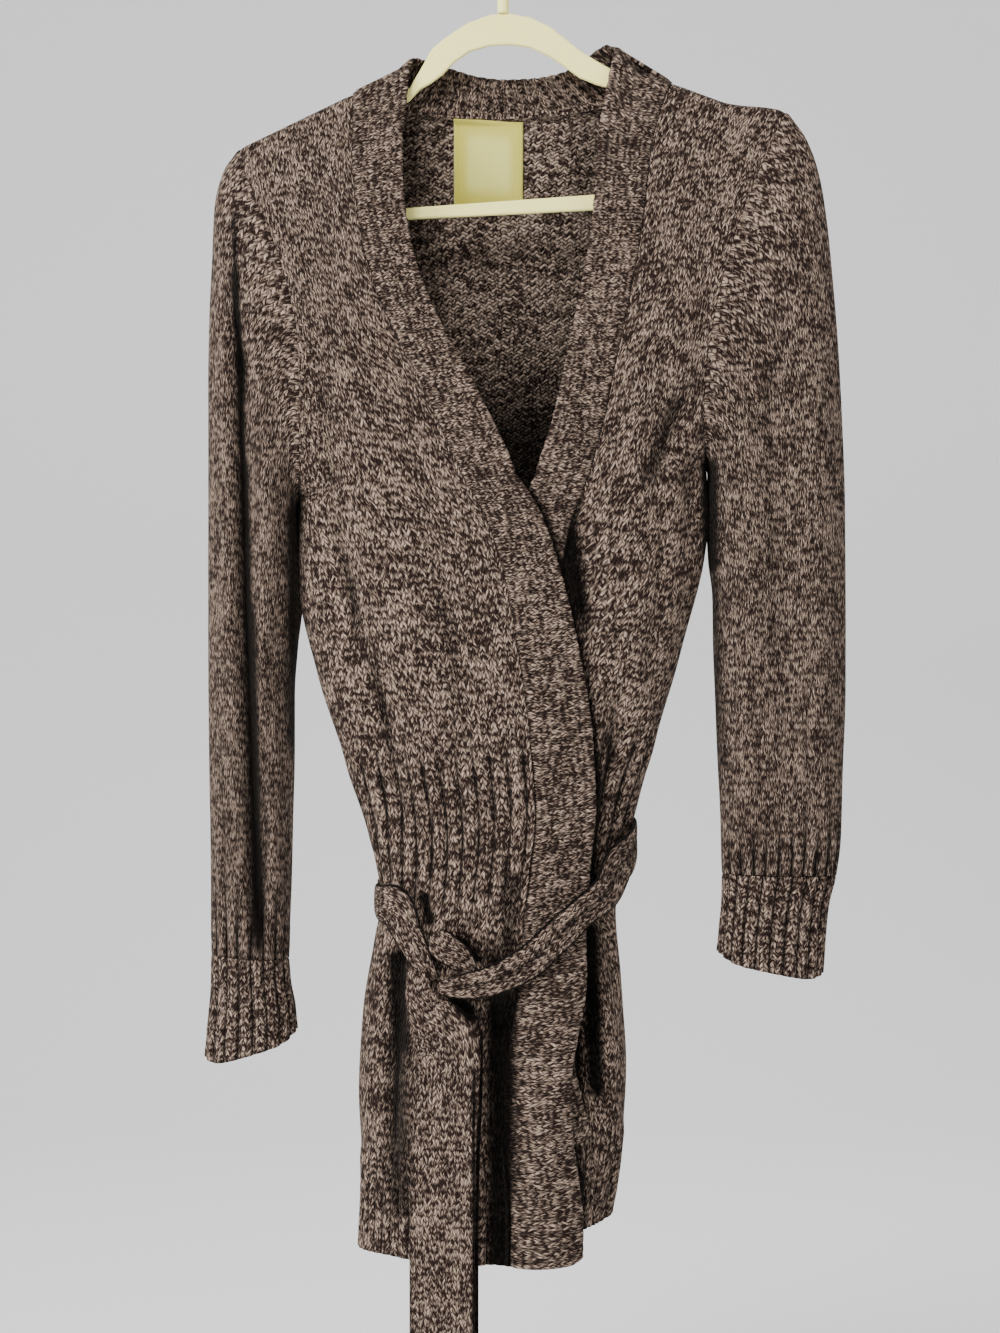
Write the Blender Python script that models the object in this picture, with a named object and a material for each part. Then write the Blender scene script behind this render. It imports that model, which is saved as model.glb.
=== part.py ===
"""Knitted wrap cardigan on a flat hanger, modelled as solids.

The garment hangs from the inner top of the hanger's hook, which is the origin. +Z is up, +X is the
viewer's right (the wearer's left) and the fronts face -Y. Sizes below are in millimetres.

The body is read as a stack of sections called levels: 0 is the hem, 10 the waist, 20 the armpit
and 30 the shoulder line. Around a section, q runs from 0 at the wearer's right side seam to 1 at
the left one. Every body piece takes its points from the same sections, so seams meet.
"""
import functools
import math
from collections import namedtuple

import bmesh
import bpy
import numpy as np
from mathutils import Vector

MM = 0.001
WALL = 2.2
HALF = WALL / 2
SEAM = 0.2
BAND_SEAM = 0.4
RIB = 1.2
LABEL_THICKNESS = 0.6
SECTION_POWER = 2 / 2.4
ARMPIT = 20
SHOULDER = 30

COLLECTION = "wrap_cardigan_on_hanger"

# Side seams below the armpit, armhole seams above it.
Side = namedtuple("Side", "level right_x right_z left_x left_z")
SIDES = (
    Side(0.0, -101, -976, 80, -958),
    Side(2.0, -99, -925, 87, -908),
    Side(4.0, -102, -865, 91, -845),
    Side(6.0, -99, -806, 88, -785),
    Side(8.0, -91, -755, 84, -735),
    Side(10.0, -86, -718, 90, -692),
    Side(12.0, -94, -675, 99, -652),
    Side(14.0, -112, -622, 113, -605),
    Side(16.0, -132, -562, 132, -540),
    Side(18.0, -144, -502, 146, -478),
    Side(20.0, -145, -441, 148, -412),
    Side(21.0, -145, -425, 147, -395),
    Side(22.0, -144, -398, 146, -370),
    Side(23.0, -144, -360, 148, -337),
    Side(24.0, -145, -322, 154, -304),
    Side(25.0, -152, -285, 162, -270),
    Side(26.0, -163, -250, 172, -237),
    Side(27.0, -176, -220, 184, -206),
    Side(28.0, -185, -198, 197, -177),
    Side(29.0, -189, -184, 206, -158),
    Side(29.6, -190, -180.6, 208, -153.6),
    Side(30.0, -190, -179.2, 209, -152.2),
)

# Depth of the section in front of and behind the hanger's plane: in the middle, and at the armhole.
Depth = namedtuple("Depth", "level front back armhole")
DEPTHS = (
    Depth(0.0, 57, 50, 0),
    Depth(4.0, 54, 47, 0),
    Depth(8.0, 47, 40, 0),
    Depth(10.0, 44, 38, 0),
    Depth(14.0, 48, 42, 0),
    Depth(18.0, 52, 46, 0),
    Depth(20.0, 52, 46, 0),
    Depth(21.0, 51, 45, 25),
    Depth(22.0, 49, 44, 35),
    Depth(23.0, 46, 42, 40),
    Depth(24.0, 42, 39, 39),
    Depth(25.0, 37, 35, 35),
    Depth(26.0, 31, 30, 28),
    Depth(27.0, 24, 24, 20),
    Depth(28.0, 16, 16, 12.5),
    Depth(29.0, 9, 9, 6),
    Depth(29.6, 5.4, 5.4, 4),
    Depth(30.0, SEAM, SEAM, SEAM),
)

# Front edges: the free edge of the band and the seam that joins the band to its front.
Edge = namedtuple("Edge", "level edge_x edge_z seam_x")
OUTER_EDGE = (
    Edge(0.0, 55.5, 0, 9),
    Edge(1.0, 56, 0, 9),
    Edge(2.0, 53, 0, 8),
    Edge(3.0, 48, 0, 4),
    Edge(4.0, 47, 0, 4),
    Edge(5.0, 52, 0, 8),
    Edge(6.0, 58, 0, 13),
    Edge(8.0, 61, 0, 17),
    Edge(10.0, 64, 0, 21),
    Edge(12.0, 67.5, 0, 25),
    Edge(14.0, 65.5, 0, 22),
    Edge(16.0, 56, 0, 14),
    Edge(18.0, 42, 0, 3),
    Edge(19.0, 31, 0, -7),
    Edge(20.0, 15.5, -425, -21),
    Edge(21.0, 4, -401, -32),
    Edge(22.0, -10, -372, -45),
    Edge(23.0, -26, -341, -60),
    Edge(24.0, -43, -310, -76),
    Edge(25.0, -57, -277, -89),
    Edge(26.0, -66, -243, -99),
    Edge(27.0, -70.5, -205, -105),
    Edge(28.0, -71, -172, -107),
    Edge(29.0, -68, -141, -107),
    Edge(29.6, -66.5, -125, -107),
    Edge(30.0, -66, -119.2, -107),
)
UNDER_EDGE = (
    Edge(0.0, 35, 0, 35),
    Edge(5.0, 35, 0, 35),
    Edge(6.0, 32, 0, 32),
    Edge(7.0, -14, 0, 24),
    Edge(8.0, -34, 0, 6),
    Edge(9.0, -46, 0, -5),
    Edge(10.0, -50, 0, -8),
    Edge(12.0, -44, 0, -2),
    Edge(14.0, -32, 0, 10),
    Edge(16.0, -14, 0, 27),
    Edge(18.0, 5, 0, 45),
    Edge(19.0, 15, 0, 54),
    Edge(20.0, 24, -424.4, 62),
    Edge(21.0, 31, -404, 68),
    Edge(22.0, 39, -375, 75),
    Edge(23.0, 47, -340, 82),
    Edge(24.0, 54, -306, 89),
    Edge(25.0, 61, -272, 96),
    Edge(26.0, 66.5, -238, 102),
    Edge(27.0, 69.5, -204, 106),
    Edge(28.0, 72, -170, 110),
    Edge(29.0, 79, -130, 118),
    Edge(29.6, 83, -111, 123),
    Edge(30.0, 84, -105.7, 125),
)

# How far the under front lies inside the outer one where they cross.
Tuck = namedtuple("Tuck", "level inside")
TUCK = (
    Tuck(0.0, 11.5),
    Tuck(6.0, 11.5),
    Tuck(9.0, 8.0),
    Tuck(14.0, 7.5),
    Tuck(17.0, 5.6),
    Tuck(20.0, 5.2),
    Tuck(21.5, 3.5),
    Tuck(23.5, 0.0),
    Tuck(30.0, 0.0),
)

# Troughs (positive) and ridges (negative) of the hanging cloth.
Fold = namedtuple("Fold", "top_level top_x bottom_level bottom_x half_width inside")
OUTER_FOLDS = (
    Fold(9.2, -70, 1.5, -82, 11, 8),
    Fold(8.2, -3, -4.0, -1, 18, 15),
    Fold(7.8, 40, -4.0, 38, 22, -7),
    Fold(8.5, -40, -4.0, -45, 20, -4),
    Fold(19.5, -118, 11.5, -62, 16, 4),
    Fold(26.5, -120, 15.0, -60, 26, -4),
    Fold(24.0, -80, 13.0, -20, 16, 3),
)
UNDER_FOLDS = (
    Fold(9.2, 72, 2.6, 66, 10, 12),
    Fold(22.8, 128, 18.6, 104, 11, 7),
    Fold(21.2, 138, 17.5, 134, 9, 4),
    Fold(19.8, 52, 16.0, 66, 10, 6),
    Fold(26.0, 130, 14.0, 88, 24, -5),
    Fold(16.5, 92, 11.0, 80, 10, 3),
)
BACK_FOLDS = (
    Fold(8.8, -46, -4.0, -54, 18, 10),
    Fold(8.4, 12, -4.0, 8, 18, -4),
    Fold(9.0, 46, -4.0, 52, 18, 9),
    Fold(8.4, -12, 1.0, -16, 13, 5),
    Fold(25.5, -104, 14.0, -46, 20, 5),
    Fold(25.5, 106, 14.0, 52, 20, 5),
    Fold(19.0, 0, 11.0, 4, 26, 5),
)

LEVELS = (0, 0.9, 1.8, 2.7, 3.6, 4.6, 5.6, 6.6, 7.6, 8.6, 9.6, 10.6, 11.7, 12.9, 14.1, 15.4,
          16.7, 18, 19, 20, 21, 22, 23, 24, 25, 26, 27, 28, 29, 29.6, 30)
HEM_RIB = (0, 2.7)
WAIST_RIB = (9.9, 14.1)
HEM_RIBS_PER_COLUMN = 2
WAIST_RIBS_PER_COLUMN = 1
BAND_RIBS_PER_ROW = 3
FRONT_COLUMNS = 11
SHOULDER_COLUMNS = 6
NECK_COLUMNS = 9
HEM_DROP = 19

# Sleeves: the outer and inner ends of each section seen from the front, and its half depths.
Ring = namedtuple("Ring", "outer_x outer_z inner_x inner_z front back")
RIGHT_SLEEVE = (
    Ring(-190, -179.2, -147.6, -438, 40, 40),
    Ring(-201, -196, -150.8, -446, 41, 40),
    Ring(-207, -222, -151, -456, 42, 39),
    Ring(-208.5, -258, -151, -469, 43, 39),
    Ring(-210.5, -300, -151, -487, 43, 38),
    Ring(-211.5, -352, -151, -511, 42, 38),
    Ring(-211.5, -410, -151, -541, 41, 37),
    Ring(-211.5, -475, -151, -578, 40, 37),
    Ring(-211.5, -545, -151, -620, 39, 36),
    Ring(-211, -612, -152, -664, 37, 34),
    Ring(-210, -676, -153, -708, 33, 31),
    Ring(-208.5, -729, -155.5, -744, 29, 28),
    Ring(-207.5, -764, -157, -768, 26, 26),
)
LEFT_SLEEVE = (
    Ring(209, -152.2, 150.6, -409, 40, 40),
    Ring(223, -172, 153.6, -417, 38, 38),
    Ring(232, -198, 154, -427, 36, 36),
    Ring(237.5, -232, 154.5, -440, 34, 34),
    Ring(241.5, -272, 155, -456, 32, 32),
    Ring(245.5, -322, 155.5, -478, 31, 30),
    Ring(248.5, -376, 156, -505, 30, 28),
    Ring(250.5, -438, 156.5, -540, 29, 27),
    Ring(251, -505, 158, -578, 29, 26),
    Ring(251, -570, 159.5, -617, 28, 25),
    Ring(249, -630, 161.5, -655, 26, 24),
    Ring(246.5, -678, 163.5, -686, 24, 22),
    Ring(242.5, -707, 165, -706, 22, 20),
)
RIGHT_CUFF = (
    Ring(-207.5, -764.6, -157, -768.6, 26, 26),
    Ring(-208, -790, -155.5, -786, 24, 24),
    Ring(-210.5, -817, -152, -805, 24, 24),
    Ring(-212.5, -846, -150.5, -827, 25, 25),
)
LEFT_CUFF = (
    Ring(242.5, -707.6, 165, -706.6, 22, 20),
    Ring(237, -730, 164.5, -727, 20, 18),
    Ring(234.5, -756, 162.5, -748, 19, 18),
    Ring(233, -785, 161, -770, 20, 19),
)
# Long folds down the sleeves: ring where each begins and ends, place across and half width.
Crease = namedtuple("Crease", "first last across half_width inside")
RIGHT_CREASES = (
    Crease(2.0, 11.5, 0.62, 0.13, 15),
    Crease(3.0, 9.0, 0.30, 0.12, -3),
)
LEFT_CREASES = (
    Crease(3.0, 11.5, 0.46, 0.15, 6),
    Crease(4.0, 10.0, 0.76, 0.12, -3),
)
CUFF_COLUMNS = 17
CUFF_RIBS_PER_COLUMN = 2

# Hanger: a flat flocked plate with a chrome hook.
HANGER_THICKNESS = 4.6
HANGER_ROUND = 1.6
HOOK_WIRE = 3.4
HOOK_RADIUS = 20.0
HOOK_SHANK_X = 2.2
FERRULE_RADIUS = 4.2
FERRULE_TOP = -62.0
FERRULE_BOTTOM = -78.8

# Belt: a flat knitted strap, folded narrow where the knot pulls it.
STRAP = 4.6
BELT_WIDTH = 36
BELT_RIGHT_LIFT = 8.6
BELT_LEFT_LIFT = 10.4


def smooth(t):
    """Ease from 0 to 1."""
    t = min(1.0, max(0.0, t))
    return t * t * (3 - 2 * t)


def mix(a, b, t):
    return a + (b - a) * t


def bell(t):
    return math.exp(-t * t)


def signed_power(value, power):
    return math.copysign(abs(value) ** power, value)


def profile(rows, column):
    """Smooth curve through one column of a table, without overshoot between its rows."""
    at = [row[0] for row in rows]
    values = [getattr(row, column) for row in rows]
    steps = [(values[i + 1] - values[i]) / (at[i + 1] - at[i]) for i in range(len(at) - 1)]
    slopes = [steps[0]]
    for before, after in zip(steps, steps[1:]):
        turning = before * after <= 0
        slopes.append(0.0 if turning else 2 * before * after / (before + after))
    slopes.append(steps[-1])

    def value(level):
        if level <= at[0]:
            return values[0] + slopes[0] * (level - at[0])
        if level >= at[-1]:
            return values[-1] + slopes[-1] * (level - at[-1])
        i = max(k for k in range(len(at) - 1) if at[k] <= level)
        span = at[i + 1] - at[i]
        t = (level - at[i]) / span
        start = (1 + 2 * t) * (1 - t) ** 2 * values[i] + t * (1 - t) ** 2 * span * slopes[i]
        end = t * t * (3 - 2 * t) * values[i + 1] - t * t * (1 - t) * span * slopes[i + 1]
        return start + end

    return value


RIGHT_X = profile(SIDES, "right_x")
RIGHT_Z = profile(SIDES, "right_z")
LEFT_X = profile(SIDES, "left_x")
LEFT_Z = profile(SIDES, "left_z")
FRONT_DEPTH = profile(DEPTHS, "front")
BACK_DEPTH = profile(DEPTHS, "back")
ARMHOLE_DEPTH = profile(DEPTHS, "armhole")
OUTER_EDGE_X = profile(OUTER_EDGE, "edge_x")
OUTER_EDGE_Z = profile(OUTER_EDGE, "edge_z")
OUTER_SEAM_X = profile(OUTER_EDGE, "seam_x")
UNDER_EDGE_X = profile(UNDER_EDGE, "edge_x")
UNDER_EDGE_Z = profile(UNDER_EDGE, "edge_z")
UNDER_SEAM_X = profile(UNDER_EDGE, "seam_x")
TUCK_INSIDE = profile(TUCK, "inside")


def section_x(q, level):
    """Place across the garment of a point on a section."""
    middle = (RIGHT_X(level) + LEFT_X(level)) / 2
    half = (LEFT_X(level) - RIGHT_X(level)) / 2
    return middle + half * signed_power(-math.cos(math.pi * q), SECTION_POWER)


def section_q(x, level):
    """The q of the point of a section that lies at x."""
    middle = (RIGHT_X(level) + LEFT_X(level)) / 2
    half = (LEFT_X(level) - RIGHT_X(level)) / 2
    cosine = signed_power(max(-1.0, min(1.0, (x - middle) / half)), 1 / SECTION_POWER)
    return math.acos(-cosine) / math.pi


SECTION_STEPS = np.linspace(0.0, 1.0, 97)


@functools.lru_cache(maxsize=None)
def section_lengths(level):
    """Length along a section from the right side seam to each step of q."""
    depth = FRONT_DEPTH(level)
    points = [(section_x(q, level), section_depth(q, level, depth)) for q in SECTION_STEPS]
    steps = [math.dist(a, b) for a, b in zip(points, points[1:])]
    return np.concatenate(([0.0], np.cumsum(steps)))


def q_along(share, level, first=0.0, last=1.0):
    """The q that lies at a share of the length between two others."""
    lengths = section_lengths(level)
    start, end = np.interp((first, last), SECTION_STEPS, lengths)
    return float(np.interp(mix(start, end, share), lengths, SECTION_STEPS))


def share_of(q, level):
    """Share of a section's length that lies before q."""
    lengths = section_lengths(level)
    return float(np.interp(q, SECTION_STEPS, lengths) / lengths[-1])


def section_depth(q, level, middle_depth):
    """Depth of a section at q: round at the side seams, open at the armholes."""
    x = section_x(q, level)
    across = (x - RIGHT_X(level)) / (LEFT_X(level) - RIGHT_X(level))
    rounded = signed_power(math.sin(math.pi * q), SECTION_POWER)
    flat = 4 * across * (1 - across)
    swell = mix(rounded, flat, smooth((level - ARMPIT) / 1.5))
    edge = ARMHOLE_DEPTH(level) if level > ARMPIT else 0.0
    return edge + (middle_depth - edge) * swell


def side_line_z(x, level):
    """Height at x of the straight line between the two side seams of a section."""
    across = (x - RIGHT_X(level)) / (LEFT_X(level) - RIGHT_X(level))
    return mix(RIGHT_Z(level), LEFT_Z(level), across)


def fold_inside(x, level, folds):
    """Sum of the folds at a place, as a move towards the inside."""
    total = 0.0
    for fold in folds:
        t = (fold.top_level - level) / (fold.top_level - fold.bottom_level)
        ends = smooth((fold.top_level - level) / 1.6) * smooth((level - fold.bottom_level) / 1.6)
        centre = mix(fold.top_x, fold.bottom_x, t)
        total += fold.inside * ends * bell((x - centre) / fold.half_width)
    return total


def pushed_in(x, y, z, level, amount):
    """A point moved by amount towards the middle of its section."""
    middle = (RIGHT_X(level) + LEFT_X(level)) / 2
    inward = Vector((-0.4 * (x - middle), -y, 0.0))
    if inward.length < 0.001:
        return Vector((x, y, z))
    return Vector((x, y, z)) + inward.normalized() * amount


def side_calm(q):
    """Folds fade out at the side seams, where front and back meet."""
    return smooth(q / 0.06) * smooth((1 - q) / 0.06)


def right_shoulder_z(across):
    """Shoulder line of the wearer's right, from the sleeve to the neck."""
    return mix(RIGHT_Z(SHOULDER), OUTER_EDGE_Z(SHOULDER), across)


def left_sag(across):
    """The left shoulder dips behind its collar, which stands higher."""
    return -10 * smooth(across / 0.4) * smooth((1 - across) / 0.16)


def outer_front(q, level):
    """Middle surface of the wearer's right front, which lies on top."""
    x = section_x(q, level)
    y = -section_depth(q, level, FRONT_DEPTH(level))
    z = side_line_z(x, level)
    z -= HEM_DROP * smooth((x + 100) / 130) * smooth((4.5 - level) / 4.5)
    if level > ARMPIT:
        across = (x - RIGHT_X(level)) / (OUTER_EDGE_X(level) - RIGHT_X(level))
        z = mix(RIGHT_Z(level), OUTER_EDGE_Z(level), across)
    amount = fold_inside(x, level, OUTER_FOLDS) * side_calm(q)
    return pushed_in(x, y, z, level, amount)


def under_front(q, level):
    """Middle surface of the wearer's left front, which passes beneath the other one."""
    x = section_x(q, level)
    y = -section_depth(q, level, FRONT_DEPTH(level))
    z = side_line_z(x, level)
    if level > ARMPIT:
        across = (LEFT_X(level) - x) / (LEFT_X(level) - UNDER_EDGE_X(level))
        z = mix(LEFT_Z(level), UNDER_EDGE_Z(level), across)
        z += left_sag(across) * smooth((level - 26) / 4)
    beneath = smooth((OUTER_EDGE_X(level) + 44 - x) / 28)
    amount = (TUCK_INSIDE(level) + fold_inside(x, level, OUTER_FOLDS)) * beneath
    amount += fold_inside(x, level, UNDER_FOLDS)
    return pushed_in(x, y, z, level, amount * side_calm(q))


NECK_RIGHT_X = OUTER_SEAM_X(SHOULDER)
NECK_LEFT_X = UNDER_SEAM_X(SHOULDER)


def left_shoulder_z(x):
    across = (LEFT_X(SHOULDER) - x) / (LEFT_X(SHOULDER) - UNDER_EDGE_X(SHOULDER))
    return mix(LEFT_Z(SHOULDER), UNDER_EDGE_Z(SHOULDER), across) + left_sag(across)


def back_top_z(x):
    """Top of the back: shoulder, neck seam, shoulder."""
    if x <= NECK_RIGHT_X:
        across = (x - RIGHT_X(SHOULDER)) / (OUTER_EDGE_X(SHOULDER) - RIGHT_X(SHOULDER))
        return right_shoulder_z(across)
    if x >= NECK_LEFT_X:
        return left_shoulder_z(x)
    t = (x - NECK_RIGHT_X) / (NECK_LEFT_X - NECK_RIGHT_X)
    start = back_top_z(NECK_RIGHT_X)
    end = back_top_z(NECK_LEFT_X)
    return mix(start, end, t) - 17 * math.sin(math.pi * t) ** 0.7


def back_surface(q, level):
    """Middle surface of the back."""
    x = section_x(q, level)
    y = section_depth(q, level, BACK_DEPTH(level))
    z = side_line_z(x, level)
    if level > ARMPIT:
        rise = ((level - ARMPIT) / (SHOULDER - ARMPIT)) ** 1.3
        z += rise * (back_top_z(x) - side_line_z(x, SHOULDER))
        t = (x - NECK_RIGHT_X) / (NECK_LEFT_X - NECK_RIGHT_X)
        if 0 < t < 1:
            y += 13 * math.sin(math.pi * t) ** 0.4 * smooth((level - 26.5) / 3.5)
    amount = fold_inside(x, level, BACK_FOLDS) * side_calm(q)
    return pushed_in(x, y, z, level, amount)


def with_normal(surface, q, level, facing):
    """A surface point and its outward normal. facing is -1 in front and 1 behind."""
    small_q = 0.004
    small_level = 0.04
    before, after = q - small_q, q + small_q
    if level > ARMPIT and q < 0.02:
        before, after = q, q + 0.03
    if level > ARMPIT and q > 0.98:
        before, after = q - 0.03, q
    low = level - small_level
    high = min(SHOULDER, level + small_level)
    along = surface(after, level) - surface(before, level)
    up = surface(q, high) - surface(q, low)
    normal = along.cross(up).normalized()
    if normal.y * facing < 0:
        normal = -normal
    point = surface(q, level)
    if level <= ARMPIT and (q < 0.001 or q > 0.999):
        normal = Vector((math.copysign(1.0, q - 0.5), 0.0, 0.0))
        point.y += SEAM * facing
    if level >= SHOULDER - 0.001:
        along_top = Vector((along.x, 0.0, along.z)).normalized()
        upright = Vector((-along_top.z, 0.0, along_top.x))
        if upright.z < 0:
            upright = -upright
        in_neck = 0.0
        if facing > 0:
            in_neck = smooth((point.x - NECK_RIGHT_X) / 30) * smooth((NECK_LEFT_X - point.x) / 30)
        normal = mix(upright, normal, in_neck).normalized()
    return point, normal


def levels_between(low, high):
    """The body's levels from low to high, with both ends."""
    inner = [level for level in LEVELS if low + 0.05 < level < high - 0.05]
    return [low] + inner + [high]


def material(name, colour, roughness, metallic=0.0):
    shader = bpy.data.materials.new(name)
    shader.use_nodes = True
    node = shader.node_tree.nodes["Principled BSDF"]
    node.inputs["Base Color"].default_value = (*colour, 1.0)
    node.inputs["Roughness"].default_value = roughness
    node.inputs["Metallic"].default_value = metallic
    return shader


def finish(bm, name, surface_material, smooth_angle=50):
    """Turn a bmesh in millimetres into an object of the part's collection."""
    bmesh.ops.recalc_face_normals(bm, faces=bm.faces)
    bmesh.ops.scale(bm, vec=(MM, MM, MM), verts=bm.verts)
    mesh = bpy.data.meshes.new(name)
    bm.to_mesh(mesh)
    bm.free()
    mesh.materials.append(surface_material)
    mesh.shade_smooth()
    mesh.set_sharp_from_angle(angle=math.radians(smooth_angle))
    piece = bpy.data.objects.new(name, mesh)
    bpy.data.collections[COLLECTION].objects.link(piece)
    return piece


def cloth_wall(name, place, columns, rows, surface_material, closed=False, wall=WALL, ribs=None):
    """A cloth wall through a grid of points.

    place(column, row) gives a middle point and its normal. The inside stays plain. Where
    ribs(row) gives a count and a height, the outside has that many ribs in each column.
    """
    bm = bmesh.new()
    cells = len(columns) if closed else len(columns) - 1
    grid = []
    for row in rows:
        count, height = ribs(row) if ribs else (0, 0.0)
        steps = 2 * count if count else 1
        points = [place(column, row) for column in columns]
        inner = [bm.verts.new(point - normal * wall / 2) for point, normal in points]
        outer = []
        for i in range(cells):
            low, low_normal = points[i]
            high, high_normal = points[(i + 1) % len(points)]
            for step in range(steps):
                between = step / steps
                stand = wall / 2 + (height if step % 2 else 0.0)
                outer.append(bm.verts.new(mix(low + low_normal * stand, high + high_normal * stand,
                                              between)))
        if not closed:
            outer.append(bm.verts.new(points[-1][0] + points[-1][1] * wall / 2))
        grid.append((inner, outer, steps))

    def outer_run(row, cell):
        """Outer points of one row along one cell, both ends included."""
        inner, outer, steps = grid[row]
        first = cell * steps
        return [outer[(first + k) % len(outer)] for k in range(steps + 1)]

    for row in range(len(rows) - 1):
        inner_low, inner_high = grid[row][0], grid[row + 1][0]
        for cell in range(cells):
            after = (cell + 1) % len(columns)
            bm.faces.new((inner_low[cell], inner_high[cell], inner_high[after], inner_low[after]))
            low = outer_run(row, cell)
            high = outer_run(row + 1, cell)
            if len(low) == len(high):
                for k in range(len(low) - 1):
                    bm.faces.new((low[k], low[k + 1], high[k + 1], high[k]))
            else:
                bm.faces.new(low + high[::-1])
        if not closed:
            outer_low, outer_high = grid[row][1], grid[row + 1][1]
            bm.faces.new((inner_low[0], outer_low[0], outer_high[0], inner_high[0]))
            bm.faces.new((inner_low[-1], inner_high[-1], outer_high[-1], outer_low[-1]))
    for row in (0, len(rows) - 1):
        for cell in range(cells):
            after = (cell + 1) % len(columns)
            inner = grid[row][0]
            bm.faces.new([inner[cell]] + outer_run(row, cell) + [inner[after]])
    return finish(bm, name, surface_material)


def body_ribs(level):
    """Ribs of the hem and the waist, as a count for each column and a height."""
    if HEM_RIB[0] - 0.01 <= level <= HEM_RIB[1] + 0.01:
        return HEM_RIBS_PER_COLUMN, RIB * smooth((HEM_RIB[1] - level) / 0.8)
    if WAIST_RIB[0] <= level <= WAIST_RIB[1] + 0.01:
        return WAIST_RIBS_PER_COLUMN, RIB * smooth((WAIST_RIB[1] - level) / 0.8)
    return 0, 0.0


def neck_columns():
    """The columns that the back and the band behind the neck share."""
    start = share_of(section_q(NECK_RIGHT_X, SHOULDER), SHOULDER)
    end = share_of(section_q(NECK_LEFT_X, SHOULDER), SHOULDER)
    return [mix(start, end, i / NECK_COLUMNS) for i in range(NECK_COLUMNS + 1)]


def build_back(yarn):
    def place(share, level):
        return with_normal(back_surface, q_along(share, level), level, 1)

    neck = neck_columns()
    columns = [mix(0, neck[0], i / SHOULDER_COLUMNS) for i in range(SHOULDER_COLUMNS)]
    columns += neck
    columns += [mix(neck[-1], 1, (i + 1) / SHOULDER_COLUMNS) for i in range(SHOULDER_COLUMNS)]
    cloth_wall("back", place, columns, LEVELS, yarn, ribs=body_ribs)


def build_fronts(yarn):
    """The two fronts, from side seam and armhole to the seam of the band."""
    columns = [i / FRONT_COLUMNS for i in range(FRONT_COLUMNS + 1)]

    def outer_place(w, level):
        last = section_q(OUTER_SEAM_X(level) - BAND_SEAM, level)
        return with_normal(outer_front, q_along(w, level, 0.0, last), level, -1)

    def under_place(w, level):
        last = section_q(UNDER_SEAM_X(level) + BAND_SEAM, level)
        return with_normal(under_front, q_along(w, level, last, 1.0), level, -1)

    cloth_wall("front_right_outer", outer_place, columns, LEVELS, yarn, ribs=body_ribs)
    cloth_wall("front_left_under", under_place, columns, LEVELS, yarn, ribs=body_ribs)


def band_ribs(across):
    """Ribs across a band, for each stretch between two levels; flat at its seam."""
    return BAND_RIBS_PER_ROW, RIB if across > 0.2 else 0.0


def build_front_bands(yarn):
    """Ribbed strips along the front edges. Their ribs run from the seam to the edge."""
    across = (0.0, 0.25, 0.6, 1.0)

    def outer_place(level, w):
        x = mix(OUTER_SEAM_X(level) + BAND_SEAM, OUTER_EDGE_X(level), w)
        return with_normal(outer_front, section_q(x, level), level, -1)

    def under_place(level, w):
        x = mix(UNDER_SEAM_X(level) - BAND_SEAM, UNDER_EDGE_X(level), w)
        return with_normal(under_front, section_q(x, level), level, -1)

    cloth_wall("band_front_right", outer_place, list(LEVELS), across, yarn, ribs=band_ribs)
    cloth_wall("band_front_left", under_place, levels_between(8.6, SHOULDER), across, yarn,
               ribs=band_ribs)


SLEEVE_LEVELS = tuple(level for level in LEVELS if level >= ARMPIT)


def ring_profiles(rings):
    """The columns of a sleeve's table as smooth curves along the sleeve."""
    numbered = [namedtuple("Row", ("at",) + Ring._fields)(i, *ring) for i, ring in enumerate(rings)]
    return {name: profile(numbered, name) for name in Ring._fields}


def tube_point(curves, ring, across, side):
    """Point of a sleeve section. across is 0 at the inner end, 1 at the outer one."""
    depth = curves["front"](ring) if side < 0 else curves["back"](ring)
    bulge = (4 * max(0.0, across * (1 - across))) ** 0.45
    return Vector((mix(curves["inner_x"](ring), curves["outer_x"](ring), across),
                   side * depth * bulge,
                   mix(curves["inner_z"](ring), curves["outer_z"](ring), across)))


def armhole_point(wearer_side, level, side):
    x, z = (RIGHT_X, RIGHT_Z) if wearer_side == "right" else (LEFT_X, LEFT_Z)
    return Vector((x(level), side * ARMHOLE_DEPTH(level) if level > ARMPIT else 0.0, z(level)))


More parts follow.
